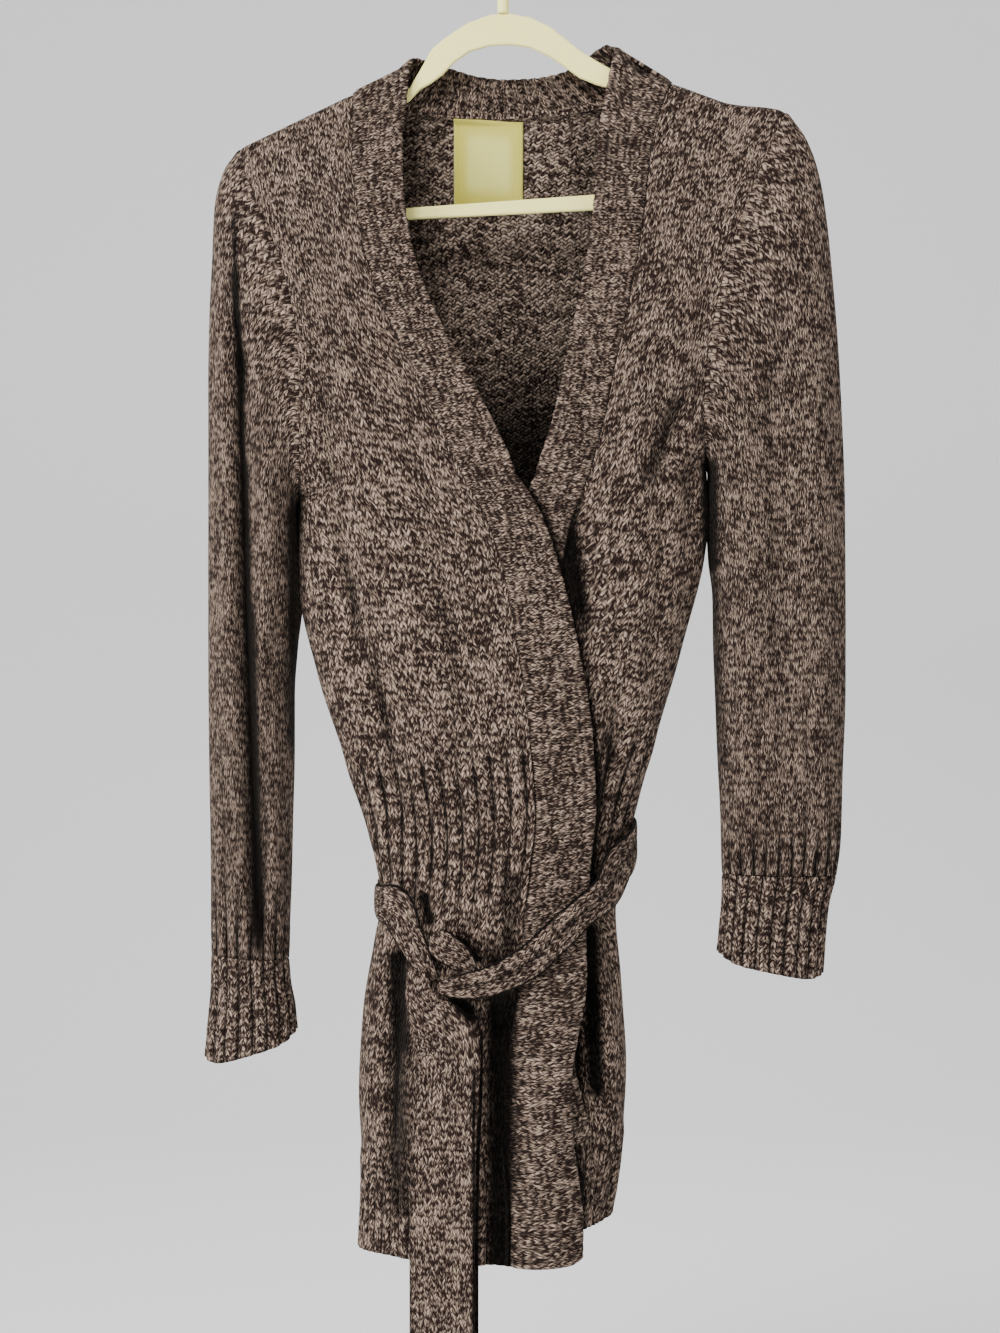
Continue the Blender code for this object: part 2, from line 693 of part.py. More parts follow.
def build_sleeve(name, wearer_side, rings, creases, yarn):
    """A sleeve from the armhole seam to the top of its cuff."""
    curves = ring_profiles(rings)
    out = -1 if wearer_side == "right" else 1
    stations = [(level, -1) for level in SLEEVE_LEVELS]
    stations += [(level, 1) for level in SLEEVE_LEVELS[-2:0:-1]]
    low = armhole_point(wearer_side, ARMPIT, -1)
    high = armhole_point(wearer_side, SHOULDER, -1)

    def middle(column, ring):
        level, side = stations[column % len(stations)]
        seam = armhole_point(wearer_side, level, side)
        across = (seam.z - low.z) / (high.z - low.z)
        point = tube_point(curves, ring, across, side)
        if ring <= 0.0:
            near_armpit = smooth((21.5 - level) / 1.5)
            return seam + Vector((out * mix(0.6, 2.8, near_armpit), 0.0, 2.5 * near_armpit))
        flat = Vector((mix(low.x, high.x, across), tube_point(curves, 0, across, side).y, seam.z))
        follow = max(0.0, 1 - ring / 4.5) ** 1.6
        point += (seam - flat) * follow
        if side < 0:
            for crease in creases:
                ends = smooth(ring - crease.first) * smooth(crease.last - ring)
                width = (across - crease.across) / crease.half_width
                point.y += crease.inside * ends * bell(width)
        return point

    def place(column, ring):
        level, side = stations[column % len(stations)]
        point = middle(column, ring)
        around = middle(column + 1, ring) - middle(column - 1, ring)
        low_ring = max(ring - 0.2, 0.05)
        high_ring = min(ring + 0.2, len(rings) - 1)
        along = middle(column, high_ring) - middle(column, low_ring)
        centre = tube_point(curves, ring, 0.5, 1)
        centre.y = 0.0
        normal = around.cross(along).normalized()
        if normal.dot(point - centre) < 0:
            normal = -normal
        if ring <= 0.0 and level > 20.9:
            surface = outer_front if wearer_side == "right" else under_front
            surface = surface if side < 0 else back_surface
            q = 0.0 if wearer_side == "right" else 1.0
            normal = with_normal(surface, q, level, side)[1]
        return point, normal

    cloth_wall(name, place, list(range(len(stations))), list(range(len(rings))), yarn, closed=True)


def build_cuff(name, rings, yarn):
    """A ribbed cuff, closed round the wrist and open at both ends."""
    curves = ring_profiles(rings)

    def middle(turn, ring):
        angle = 2 * math.pi * turn
        side = 1 if math.sin(angle) < 0 else -1
        return tube_point(curves, ring, (1 - math.cos(angle)) / 2, side)

    def place(turn, ring):
        around = middle(turn + 0.01, ring) - middle(turn - 0.01, ring)
        along = middle(turn, min(ring + 0.2, 3)) - middle(turn, max(ring - 0.2, 0))
        normal = around.cross(along).normalized()
        point = middle(turn, ring)
        centre = (middle(0.0, ring) + middle(0.5, ring)) / 2
        if normal.dot(point - centre) < 0:
            normal = -normal
        return point, normal

    def ribs(ring):
        return CUFF_RIBS_PER_COLUMN, RIB * smooth(ring / 0.6)

    columns = [i / CUFF_COLUMNS for i in range(CUFF_COLUMNS)]
    cloth_wall(name, place, columns, [0, 1, 2, 3], yarn, closed=True, ribs=ribs)


# Collar: free edge of the band behind the neck, from the right shoulder to the left one.
Collar = namedtuple("Collar", "t edge_x edge_y edge_z")
COLLAR = (
    Collar(0.0, -66, 0.2, -119.2),
    Collar(0.07, -61, 6, -111),
    Collar(0.16, -52, 10.5, -112),
    Collar(0.28, -34, 14.5, -117),
    Collar(0.4, -14, 17, -122),
    Collar(0.5, 4, 18, -123.5),
    Collar(0.62, 24, 17, -123),
    Collar(0.74, 42, 14.5, -120.5),
    Collar(0.83, 56, 11.5, -115),
    Collar(0.9, 67, 9, -107),
    Collar(0.96, 77, 5, -102),
    Collar(1.0, 84, 0.2, -105.7),
)
NECK_RIBS_PER_COLUMN = 3
NECK_SEAM = 1.7


def build_neck_band(yarn):
    edge_x = profile(COLLAR, "edge_x")
    edge_y = profile(COLLAR, "edge_y")
    edge_z = profile(COLLAR, "edge_z")

    def middle(t, w):
        share = mix(neck_columns()[0], neck_columns()[-1], t)
        seam, normal = with_normal(back_surface, q_along(share, SHOULDER), SHOULDER, 1)
        edge = Vector((edge_x(t), edge_y(t), edge_z(t)))
        upward = (edge - seam).normalized()
        return mix(seam + upward * NECK_SEAM, edge, w), normal

    def place(t, w):
        point, seam_normal = middle(t, w)
        after = middle(min(1.0, t + 0.02), w)[0] - middle(max(0.0, t - 0.02), w)[0]
        normal = after.cross(middle(t, 1.0)[0] - middle(t, 0.0)[0]).normalized()
        if normal.y < 0:
            normal = -normal
        if t < 0.001 or t > 0.999:
            normal = Vector((normal.x, 0.0, normal.z)).normalized()
            across = (middle(t, 1.0)[0] - middle(t, 0.0)[0]).normalized()
            normal = Vector((-across.z, 0.0, across.x))
            if normal.z < 0:
                normal = -normal
            point.y = SEAM
        return point, mix(seam_normal, normal, smooth(w / 0.3)).normalized()

    columns = [i / NECK_COLUMNS for i in range(NECK_COLUMNS + 1)]
    cloth_wall("band_neck", place, columns, (0.0, 0.25, 1.0), yarn,
               ribs=lambda w: (NECK_RIBS_PER_COLUMN, RIB if w > 0.2 else 0.0))


def level_at(x, z):
    """Level of the body at a place seen from the front."""
    low, high = -3.0, 20.0
    for _ in range(40):
        middle = (low + high) / 2
        if side_line_z(x, middle) < z:
            low = middle
        else:
            high = middle
    return (low + high) / 2


# Lower corner of the under front's band, turned back over its own front.
Corner = namedtuple("Corner", "t seam_x seam_z edge_x edge_z")
CORNER = (
    Corner(0.0, 24, -814, 40, -806),
    Corner(0.5, 26, -857, 54, -848),
    Corner(1.0, 37, -904, 69, -892),
)
CORNER_STAND = WALL + 2.0


def build_band_corner(yarn):
    curves = {name: profile(CORNER, name) for name in Corner._fields[1:]}

    def middle(t, w):
        x = mix(curves["seam_x"](t), curves["edge_x"](t), w)
        z = mix(curves["seam_z"](t), curves["edge_z"](t), w)
        level = level_at(x, z)
        point, normal = with_normal(under_front, section_q(x, level), level, -1)
        return point + normal * CORNER_STAND

    def place(t, w):
        along = middle(t + 0.02, w) - middle(t - 0.02, w)
        normal = along.cross(middle(t, w + 0.05) - middle(t, w - 0.05)).normalized()
        return middle(t, w), normal if normal.y < 0 else -normal

    columns = [i / 5 for i in range(6)]
    cloth_wall("band_corner", place, columns, (0.0, 0.33, 0.67, 1.0), yarn,
               ribs=lambda w: (BAND_RIBS_PER_ROW, RIB if w > 0.2 else 0.0))


# Straps of the belt: centre line in front view, width and how far it stands off the section.
Station = namedtuple("Station", "x z width lift")
BELT_LEFT = (
    Station(79.3, -698.6, 31, 8),
    Station(71.8, -716, 27, 8.5),
    Station(55.7, -730, 23, 9.5),
    Station(39, -746, 24, 11),
    Station(18, -765, 24, 14),
    Station(-12, -779, 21, 16),
    Station(-30, -781.5, 16, 17.5),
    Station(-40, -782, 9, 17.5),
)
BELT_RIGHT = (
    Station(-71.5, -727, 31, 8.4),
    Station(-62, -747, 23, 8.2),
    Station(-54, -764, 18, 8),
    Station(-47, -779, 13, 8),
)
KNOT = (
    Station(-44.2, -744.6, 11, 9),
    Station(-39.2, -752, 22, 13.1),
    Station(-29, -761, 20, 11.2),
    Station(-20, -771, 12, 8),
)
TAIL_FRONT = (
    Station(-55, -771, 14, 13.1),
    Station(-54.5, -784, 19, 13.1),
    Station(-50, -798, 27, 13.3),
    Station(-40, -812, 43, 13.5),
    Station(-34.5, -830, 45, 13.5),
    Station(-36, -861, 45, 13.5),
    Station(-38, -900, 46.5, 13.5),
    Station(-39, -967, 46.5, 13.5),
    Station(-39, -1016, 46.5, 13.5),
    Station(-39, -1066, 46.5, 13.5),
)
TAIL_BACK = (
    Station(-28, -800, 26, 7.5),
    Station(-31, -816, 40, 8.4),
    Station(-32.5, -861, 42, 8.8),
    Station(-35, -900, 44, 8.8),
    Station(-36, -967, 44, 8.8),
    Station(-36, -1010, 44, 8.8),
    Station(-36, -1054, 44, 8.8),
)
TAIL = 3.6


def section_stand(q, level):
    """Point of the unfolded front, and its level normal."""
    def at(place):
        return Vector((section_x(place, level), -section_depth(place, level, FRONT_DEPTH(level)), 0))

    along = at(min(0.999, q + 0.005)) - at(max(0.001, q - 0.005))
    normal = along.cross(Vector((0.0, 0.0, 1.0))).normalized()
    point = at(q)
    point.z = side_line_z(point.x, level)
    return point, normal if normal.y < 0 else -normal


def front_stand(x, z):
    """The same, at a place seen from the front."""
    level = max(0.0, level_at(x, z))
    point, normal = section_stand(section_q(x, level), level)
    point.z = z
    return point, normal


def build_strap(name, centres, yarn, thickness=STRAP, groove=False):
    """A flat strap through centres, each a point, a normal, a width and, at a side, a direction."""
    across = (-1.0, -0.5, 0.0, 0.5, 1.0)

    def place(s, i):
        point, normal, width, direction = centres[i]
        if direction is None:
            direction = centres[min(len(centres) - 1, i + 1)][0] - centres[max(0, i - 1)][0]
        sideways = normal.cross(direction).normalized()
        dip = 0.22 * thickness if groove and s == 0.0 else 0.0
        crown = 0.12 * thickness * (1 - s * s) - dip
        return point + sideways * s * width / 2 + normal * crown, normal

    cloth_wall(name, place, list(across), list(range(len(centres))), yarn, wall=thickness)


def belt_level(q):
    """The belt climbs from the wearer's right side to the left one."""
    return mix(9.75, 10.65, q)


def belt_lift(q):
    return mix(BELT_RIGHT_LIFT, BELT_LEFT_LIFT, q)


def belt_at_side(surface, q, facing):
    """Centre of the belt where it goes round the body, upright."""
    point, normal = with_normal(surface, q, belt_level(q), facing)
    normal = Vector((normal.x, normal.y, 0.0)).normalized()
    return point + normal * belt_lift(q), normal


def strap_centres(stations):
    """The centres of a strap that lies on the fronts."""
    centres = []
    for station in stations:
        point, normal = front_stand(station.x, station.z)
        centres.append((point + normal * station.lift, normal, station.width, None))
    return centres


def build_belt(yarn):
    """The belt: one strap round the back, its two sides, the knot and the hanging ends."""
    forward = Vector((0.0, -1.0, 0.0))
    around = []
    turns = 16
    for i in range(turns + 1):
        q = q_along(i / turns, 10.0)
        point, normal = belt_at_side(back_surface, q, 1)
        around.append((point, normal, BELT_WIDTH, None))
    for i, way in ((0, -1), (turns, 1)):
        around[i][0].y = SEAM
        around[i] = (around[i][0], around[i][1], BELT_WIDTH, forward * way)
    build_strap("belt_back", around, yarn)

    for name, stations, q, groove in (("belt_side_left", BELT_LEFT, 1.0, True),
                                      ("belt_side_right", BELT_RIGHT, 0.0, False)):
        point, normal = belt_at_side(back_surface, q, 1)
        point.y = -SEAM
        centres = [(point, normal, BELT_WIDTH, forward)]
        first = stations[0]
        first_level = level_at(first.x, first.z)
        first_q = section_q(first.x, first_level)
        for share in (0.2, 0.45, 0.72):
            near, facing = section_stand(mix(q, first_q, share),
                                         mix(belt_level(q), first_level, share))
            lift = mix(belt_lift(q), first.lift, share)
            centres.append((near + facing * lift, facing, mix(BELT_WIDTH, first.width, share), None))
        build_strap(name, centres + strap_centres(stations), yarn, groove=groove)

    build_strap("belt_knot", strap_centres(KNOT), yarn)
    build_strap("belt_tail_front", strap_centres(TAIL_FRONT), yarn, thickness=TAIL)
    build_strap("belt_tail_back", strap_centres(TAIL_BACK), yarn, thickness=TAIL)


LABEL_X = (-33.0, 15.5)
LABEL_TOP = (-153.0, -156.0)
LABEL_HEIGHT = 62.0


def back_level_at(x, z):
    """Level of the back at a place seen through the neck."""
    low, high = ARMPIT, SHOULDER
    for _ in range(40):
        middle = (low + high) / 2
        if back_surface(section_q(x, middle), middle).z < z:
            low = middle
        else:
            high = middle
    return (low + high) / 2


def build_label(satin):
    """A plain woven label on the inside of the back, below the neck seam."""
    def place(column, row):
        x = mix(LABEL_X[0], LABEL_X[1], column)
        z = mix(LABEL_TOP[0], LABEL_TOP[1], column) - LABEL_HEIGHT * row
        level = back_level_at(x, z)
        point, normal = with_normal(back_surface, section_q(x, level), level, 1)
        return point - normal * (HALF + SEAM + LABEL_THICKNESS), normal

    cloth_wall("neck_label", place, (0.0, 0.33, 0.67, 1.0), (0.0, 0.33, 0.67, 1.0), satin,
               wall=LABEL_THICKNESS)


# Upper limb of the hanger: its upper and lower edge, from the right arm over the arch.
Limb = namedtuple("Limb", "x top under")
LIMB = (
    Limb(-187, -183.6, -199),
    Limb(-150, -164.2, -179.5),
    Limb(-112, -147, -162),
    Limb(-88, -141, -155),
    Limb(-66, -133.5, -143),
    Limb(-58, -120, -134.5),
    Limb(-50, -105.6, -130),
    Limb(-42, -98.5, -124),
    Limb(-33, -92, -114.5),
    Limb(-22, -85.5, -107),
    Limb(-7, -80, -102.6),
    Limb(8, -79.4, -102),
    Limb(22, -82, -104),
    Limb(36, -88.5, -110.5),
    Limb(47, -97, -118),
    Limb(58, -106, -126),
    Limb(70, -113.5, -131),
    Limb(85, -122, -135),
    Limb(102, -128.6, -142),
    Limb(122, -136.4, -150),
    Limb(150, -146.2, -160),
    Limb(178, -152.6, -167),
    Limb(205, -157.4, -173),
)
LEFT_TIP = ((215, -171), (223, -189), (226, -205), (222, -215))
RIGHT_TIP = ((-195, -236), (-200, -228), (-200, -213), (-195, -196))
HOLE_LEFT = ((211, -182), (212, -193), (206, -201.5))
HOLE_RIGHT = ((-179, -229), (-187, -222), (-189, -211), (-187, -202))


def mesh_of_curve(curve_object):
    """Replace a curve object by its welded mesh."""
    graph = bpy.context.evaluated_depsgraph_get()
    mesh = bpy.data.meshes.new_from_object(curve_object.evaluated_get(graph))
    bm = bmesh.new()
    bm.from_mesh(mesh)
    bmesh.ops.remove_doubles(bm, verts=bm.verts, dist=0.00002)
    bmesh.ops.recalc_face_normals(bm, faces=bm.faces)
    bm.to_mesh(mesh)
    bm.free()
    piece = bpy.data.objects.new(curve_object.name, mesh)
    piece.matrix_world = curve_object.matrix_world
    name = curve_object.name
    bpy.data.objects.remove(curve_object)
    piece.name = name
    bpy.data.collections[COLLECTION].objects.link(piece)
    return piece


def build_hanger(velvet, chrome):
    """Flat plate with a bar, a ferrule and a wire hook. The origin is the hook's inner top."""
    outline = bpy.data.curves.new("hanger_plate", "CURVE")
    outline.dimensions = "2D"
    outline.fill_mode = "BOTH"
    outline.extrude = (HANGER_THICKNESS / 2 - HANGER_ROUND) * MM
    outline.bevel_depth = HANGER_ROUND * MM
    outline.bevel_resolution = 1
    outline.offset = -HANGER_ROUND * MM
    outside = [(limb.x, limb.top) for limb in LIMB] + list(LEFT_TIP) + list(RIGHT_TIP)
    hole = [(limb.x, limb.under) for limb in LIMB[1:-1]] + list(HOLE_LEFT) + list(HOLE_RIGHT)
    for points in (outside, hole):
        spline = outline.splines.new("POLY")
        spline.points.add(len(points) - 1)
        for point, (x, z) in zip(spline.points, points):
            point.co = (x * MM, z * MM, 0.0, 1.0)
        spline.use_cyclic_u = True
    plate = bpy.data.objects.new("hanger_plate", outline)
    bpy.context.scene.collection.objects.link(plate)
    plate.rotation_euler = (math.pi / 2, 0, 0)
    bpy.context.view_layer.update()
    plate = mesh_of_curve(plate)
    plate.data.materials.clear()
    plate.data.materials.append(velvet)

    bpy.ops.mesh.primitive_cylinder_add(
        vertices=20, radius=FERRULE_RADIUS * MM, depth=(FERRULE_TOP - FERRULE_BOTTOM) * MM,
        location=(HOOK_SHANK_X * MM, 0, (FERRULE_TOP + FERRULE_BOTTOM) / 2 * MM))
    ferrule = bpy.context.active_object
    ferrule.name = "hanger_ferrule"
    ferrule.data.materials.append(velvet)
    for holder in list(ferrule.users_collection):
        holder.objects.unlink(ferrule)
    bpy.data.collections[COLLECTION].objects.link(ferrule)

    radius = HOOK_RADIUS + HOOK_WIRE / 2
    centre_z = -HOOK_RADIUS
    first_angle, last_angle = math.radians(-25), math.radians(212)
    start = Vector((HOOK_SHANK_X, FERRULE_TOP + 2 * SEAM))
    arc_start = Vector((radius * math.cos(first_angle), centre_z + radius * math.sin(first_angle)))
    tangent = Vector((-math.sin(first_angle), math.cos(first_angle)))
    controls = (start, start + Vector((0, 14)), arc_start - tangent * 14, arc_start)
    path = []
    for i in range(8):
        t = i / 8
        weights = ((1 - t) ** 3, 3 * t * (1 - t) ** 2, 3 * t * t * (1 - t), t ** 3)
        path.append(sum((c * w for c, w in zip(controls, weights)), Vector((0, 0))))
    for i in range(17):
        angle = mix(first_angle, last_angle, i / 16)
        path.append(Vector((radius * math.cos(angle), centre_z + radius * math.sin(angle))))
    wire = bpy.data.curves.new("hanger_hook", "CURVE")
    wire.dimensions = "3D"
    wire.bevel_depth = HOOK_WIRE / 2 * MM
    wire.bevel_resolution = 2
    wire.use_fill_caps = True
    spline = wire.splines.new("POLY")
    spline.points.add(len(path) - 1)
    for point, place in zip(spline.points, path):
        point.co = (place.x * MM, 0.0, place.y * MM, 1.0)
    hook = bpy.data.objects.new("hanger_hook", wire)
    bpy.context.scene.collection.objects.link(hook)
    bpy.context.view_layer.update()
    hook = mesh_of_curve(hook)
    hook.data.materials.clear()
    hook.data.materials.append(chrome)


def main():
    for item in list(bpy.data.objects):
        bpy.data.objects.remove(item)
    collection = bpy.data.collections.new(COLLECTION)
    bpy.context.scene.collection.children.link(collection)
    yarn = material("marled_yarn", (0.115, 0.078, 0.062), 0.92)
    satin = material("gold_satin", (0.62, 0.53, 0.20), 0.45)
    velvet = material("ivory_velvet", (0.80, 0.77, 0.64), 0.85)
    chrome = material("chrome", (0.72, 0.72, 0.74), 0.2, 1.0)
    build_back(yarn)
    build_fronts(yarn)
    build_front_bands(yarn)
    build_neck_band(yarn)
    build_band_corner(yarn)
    build_sleeve("sleeve_right", "right", RIGHT_SLEEVE, RIGHT_CREASES, yarn)
    build_sleeve("sleeve_left", "left", LEFT_SLEEVE, LEFT_CREASES, yarn)
    build_cuff("cuff_right", RIGHT_CUFF, yarn)
    build_cuff("cuff_left", LEFT_CUFF, yarn)
    build_belt(yarn)
    build_label(satin)
    build_hanger(velvet, chrome)


main()
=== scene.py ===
# %% [markdown]
# # A marled wrap cardigan on a hanger
#
# The solids of the garment are loaded first. They are plain walls, right in size and place. This
# lesson dresses them: each panel becomes a thin shell with finer folds, ribs in relief and a knit
# made of shader nodes, so it looks like looped yarn from every side.

# %% Load the solids and keep their box
import math
import random

import bmesh
import bpy
import numpy as np
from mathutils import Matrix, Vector


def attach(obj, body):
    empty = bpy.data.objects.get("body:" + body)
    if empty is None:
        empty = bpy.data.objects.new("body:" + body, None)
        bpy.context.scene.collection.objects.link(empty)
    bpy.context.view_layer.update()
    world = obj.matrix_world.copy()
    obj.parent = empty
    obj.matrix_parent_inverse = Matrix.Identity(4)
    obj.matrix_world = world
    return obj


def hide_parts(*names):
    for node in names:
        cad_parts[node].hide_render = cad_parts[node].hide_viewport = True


MM = 0.001
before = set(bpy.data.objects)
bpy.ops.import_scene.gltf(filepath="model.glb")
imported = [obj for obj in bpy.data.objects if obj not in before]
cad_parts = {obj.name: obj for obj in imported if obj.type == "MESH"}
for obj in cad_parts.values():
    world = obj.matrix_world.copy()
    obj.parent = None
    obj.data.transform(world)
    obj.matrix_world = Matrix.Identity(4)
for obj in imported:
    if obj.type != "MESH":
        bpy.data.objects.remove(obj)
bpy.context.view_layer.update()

# %% [markdown]
# ## Tables of the garment
#
# A garment has no single formula, so its sizes are read from short tables. The body is a stack of
# sections called levels: 0 is the hem, 10 the waist, 20 the armpit and 30 the shoulder. Between the
# rows of a table a smooth curve without overshoot is drawn, as a pattern cutter would with a
# flexible ruler. All sizes are in millimetres until the mesh is made.

# %% Tables, and the smooth curve between their rows
def table(names, rows):
    """Named columns of a table as arrays."""
    return dict(zip(names.split(), np.array(rows, float).T))


def read(columns, name, at):
    """Value of one column of a table at each place, without overshoot between its rows."""
    places = next(iter(columns.values()))
    values = columns[name]
    at = np.asarray(at, float)
    spans = np.diff(places)
    steps = np.diff(values) / spans
    before, after = steps[:-1], steps[1:]
    product = before * after
    total = np.where(before + after == 0, 1, before + after)
    inner = np.where(product > 0, 2 * product / total, 0.0)
    slopes = np.concatenate(([steps[0]], inner, [steps[-1]]))
    i = np.clip(np.searchsorted(places, at, side="right") - 1, 0, len(spans) - 1)
    t = (at - places[i]) / spans[i]
    inside = ((1 + 2 * t) * (1 - t) ** 2 * values[i] + t * (1 - t) ** 2 * spans[i] * slopes[i]
              + t * t * (3 - 2 * t) * values[i + 1] - t * t * (1 - t) * spans[i] * slopes[i + 1])
    below = values[0] + slopes[0] * (at - places[0])
    above = values[-1] + slopes[-1] * (at - places[-1])
    return np.where(at < places[0], below, np.where(at > places[-1], above, inside))


def smooth(t):
    t = np.clip(t, 0.0, 1.0)
    return t * t * (3 - 2 * t)


def mix(a, b, t):
    return a + (b - a) * t


def bell(t):
    return np.exp(-t * t)


SIDES = table("level right_x right_z left_x left_z", (
    (0, -101, -976, 80, -958), (2, -99, -925, 87, -908), (4, -102, -865, 91, -845),
    (6, -99, -806, 88, -785), (8, -91, -755, 84, -735), (10, -86, -718, 90, -692),
    (12, -94, -675, 99, -652), (14, -112, -622, 113, -605), (16, -132, -562, 132, -540),
    (18, -144, -502, 146, -478), (20, -145, -441, 148, -412), (21, -145, -425, 147, -395),
    (22, -144, -398, 146, -370), (23, -144, -360, 148, -337), (24, -145, -322, 154, -304),
    (25, -152, -285, 162, -270), (26, -163, -250, 172, -237), (27, -176, -220, 184, -206),
    (28, -185, -198, 197, -177), (29, -189, -184, 206, -158), (29.6, -190, -180.6, 208, -153.6),
    (30, -190, -179.2, 209, -152.2)))
DEPTHS = table("level front back armhole", (
    (0, 57, 50, 0), (4, 54, 47, 0), (8, 47, 40, 0), (10, 44, 38, 0), (14, 48, 42, 0),
    (18, 52, 46, 0), (20, 52, 46, 0), (21, 51, 45, 25), (22, 49, 44, 35), (23, 46, 42, 40),
    (24, 42, 39, 39), (25, 37, 35, 35), (26, 31, 30, 28), (27, 24, 24, 20), (28, 16, 16, 12.5),
    (29, 9, 9, 6), (29.6, 5.4, 5.4, 4), (30, 0.2, 0.2, 0.2)))
OUTER_EDGE = table("level edge_x edge_z seam_x", (
    (0, 55.5, 0, 9), (1, 56, 0, 9), (2, 53, 0, 8), (3, 48, 0, 4), (4, 47, 0, 4), (5, 52, 0, 8),
    (6, 58, 0, 13), (8, 61, 0, 17), (10, 64, 0, 21), (12, 67.5, 0, 25), (14, 65.5, 0, 22),
    (16, 56, 0, 14), (18, 42, 0, 3), (19, 31, 0, -7), (20, 15.5, -425, -21), (21, 4, -401, -32),
    (22, -10, -372, -45), (23, -26, -341, -60), (24, -43, -310, -76), (25, -57, -277, -89),
    (26, -66, -243, -99), (27, -70.5, -205, -105), (28, -71, -172, -107), (29, -68, -141, -107),
    (29.6, -66.5, -125, -107), (30, -66, -119.2, -107)))
UNDER_EDGE = table("level edge_x edge_z seam_x", (
    (0, 35, 0, 35), (5, 35, 0, 35), (6, 32, 0, 32), (7, -14, 0, 24), (8, -34, 0, 6),
    (9, -46, 0, -5), (10, -50, 0, -8), (12, -44, 0, -2), (14, -32, 0, 10), (16, -14, 0, 27),
    (18, 5, 0, 45), (19, 15, 0, 54), (20, 24, -424.4, 62), (21, 31, -404, 68), (22, 39, -375, 75),
    (23, 47, -340, 82), (24, 54, -306, 89), (25, 61, -272, 96), (26, 66.5, -238, 102),
    (27, 69.5, -204, 106), (28, 72, -170, 110), (29, 79, -130, 118), (29.6, 83, -111, 123),
    (30, 84, -105.7, 125)))
TUCK = table("level inside", (
    (0, 11.5), (6, 11.5), (9, 8), (14, 7.5), (17, 5.6), (20, 5.2), (21.5, 3.5), (23.5, 0), (30, 0)))
WALL = 2.2
ARMPIT = 20
SHOULDER = 30
SECTION_POWER = 2 / 2.4
HEM_DROP = 19
print("tables of", len(SIDES["level"]), "levels")

# %% [markdown]
# ## Folds
#
# Each large fold of the hanging cloth is one line of a table: where it starts, where it ends, how
# wide it is, and how far it goes in. A negative depth is a ridge. The first folds are those of the
# solids; the finer ones after them, 1 to 4 mm deep, are only in this shell.

# %% The folds of the two fronts and the back
# top level, top x, bottom level, bottom x, half width, inside
OUTER_FOLDS = (
    (9.2, -70, 1.5, -82, 11, 8), (8.2, -3, -4.0, -1, 18, 15), (7.8, 40, -4.0, 38, 22, -7),
    (8.5, -40, -4.0, -45, 20, -4), (19.5, -118, 11.5, -62, 16, 4), (26.5, -120, 15.0, -60, 26, -4),
    (24.0, -80, 13.0, -20, 16, 3))
UNDER_FOLDS = (
    (9.2, 72, 2.6, 66, 10, 12), (22.8, 128, 18.6, 104, 11, 7), (21.2, 138, 17.5, 134, 9, 4),
    (19.8, 52, 16.0, 66, 10, 6), (26.0, 130, 14.0, 88, 24, -5), (16.5, 92, 11.0, 80, 10, 3))
BACK_FOLDS = (
    (8.8, -46, -4.0, -54, 18, 10), (8.4, 12, -4.0, 8, 18, -4), (9.0, 46, -4.0, 52, 18, 9),
    (8.4, -12, 1.0, -16, 13, 5), (25.5, -104, 14.0, -46, 20, 5), (25.5, 106, 14.0, 52, 20, 5),
    (19.0, 0, 11.0, 4, 26, 5))
FINE_OUTER_FOLDS = (
    (9.6, -52, 4.0, -60, 6, 2.6), (9.4, -26, 5.5, -20, 6, 2.2), (16.5, -96, 11.0, -66, 9, 2.4),
    (13.5, -44, 9.5, -36, 8, 1.8), (14.0, -8, 9.6, -14, 8, 1.8), (21.5, -128, 16.0, -104, 9, 2.6),
    (24.5, -132, 20.0, -118, 7, 2.2), (28.5, -140, 23.0, -122, 12, 2.0), (20.0, -64, 13.0, -40, 12, -1.6),
    (12.5, 6, 9.8, 0, 5, 1.5), (6.0, -66, -2.0, -64, 8, -2.2), (5.0, -24, -4.0, -27, 9, -2.4))
FINE_UNDER_FOLDS = (
    (20.5, 118, 13.0, 100, 8, 2.4), (14.5, 84, 9.8, 76, 6, 2.0), (24.5, 118, 19.0, 96, 10, 1.8),
    (27.5, 160, 23.0, 138, 10, 2.0), (18.0, 78, 12.0, 74, 9, -1.8), (7.0, 82, 1.0, 80, 6, -2.0))
FINE_BACK_FOLDS = (
    (24.0, -130, 18.0, -96, 10, 2.4), (24.0, 134, 18.0, 98, 10, 2.4), (14.5, -60, 9.8, -50, 9, 2.2),
    (14.5, 62, 9.8, 50, 9, 2.2), (13.0, -22, 9.6, -20, 8, 1.8), (13.0, 26, 9.6, 22, 8, 1.8),
    (9.4, -74, 3.0, -76, 8, 2.4), (9.0, 72, 2.0, 74, 8, 2.2), (28.0, -60, 20.0, -30, 20, -1.6),
    (28.0, 66, 20.0, 34, 20, -1.6))


def fold_inside(x, level, folds):
    """Sum of the folds at each place, as a move towards the inside."""
    total = np.zeros_like(x)
    for top_level, top_x, bottom_level, bottom_x, half_width, inside in folds:
        t = (top_level - level) / (top_level - bottom_level)
        ends = smooth((top_level - level) / 1.6) * smooth((level - bottom_level) / 1.6)
        total += inside * ends * bell((x - mix(top_x, bottom_x, t)) / half_width)
    return total


print("folds:", len(OUTER_FOLDS) + len(UNDER_FOLDS) + len(BACK_FOLDS), "large,",
      len(FINE_OUTER_FOLDS) + len(FINE_UNDER_FOLDS) + len(FINE_BACK_FOLDS), "fine")

# %% [markdown]
# ## Sections of the body
#
# Round a section, q runs from 0 at the wearer's right side seam to 1 at the left one. Front and
# back use the same sections, so their seams meet. Points are worked out for a whole panel at once,
# as arrays, which is far quicker than one by one.

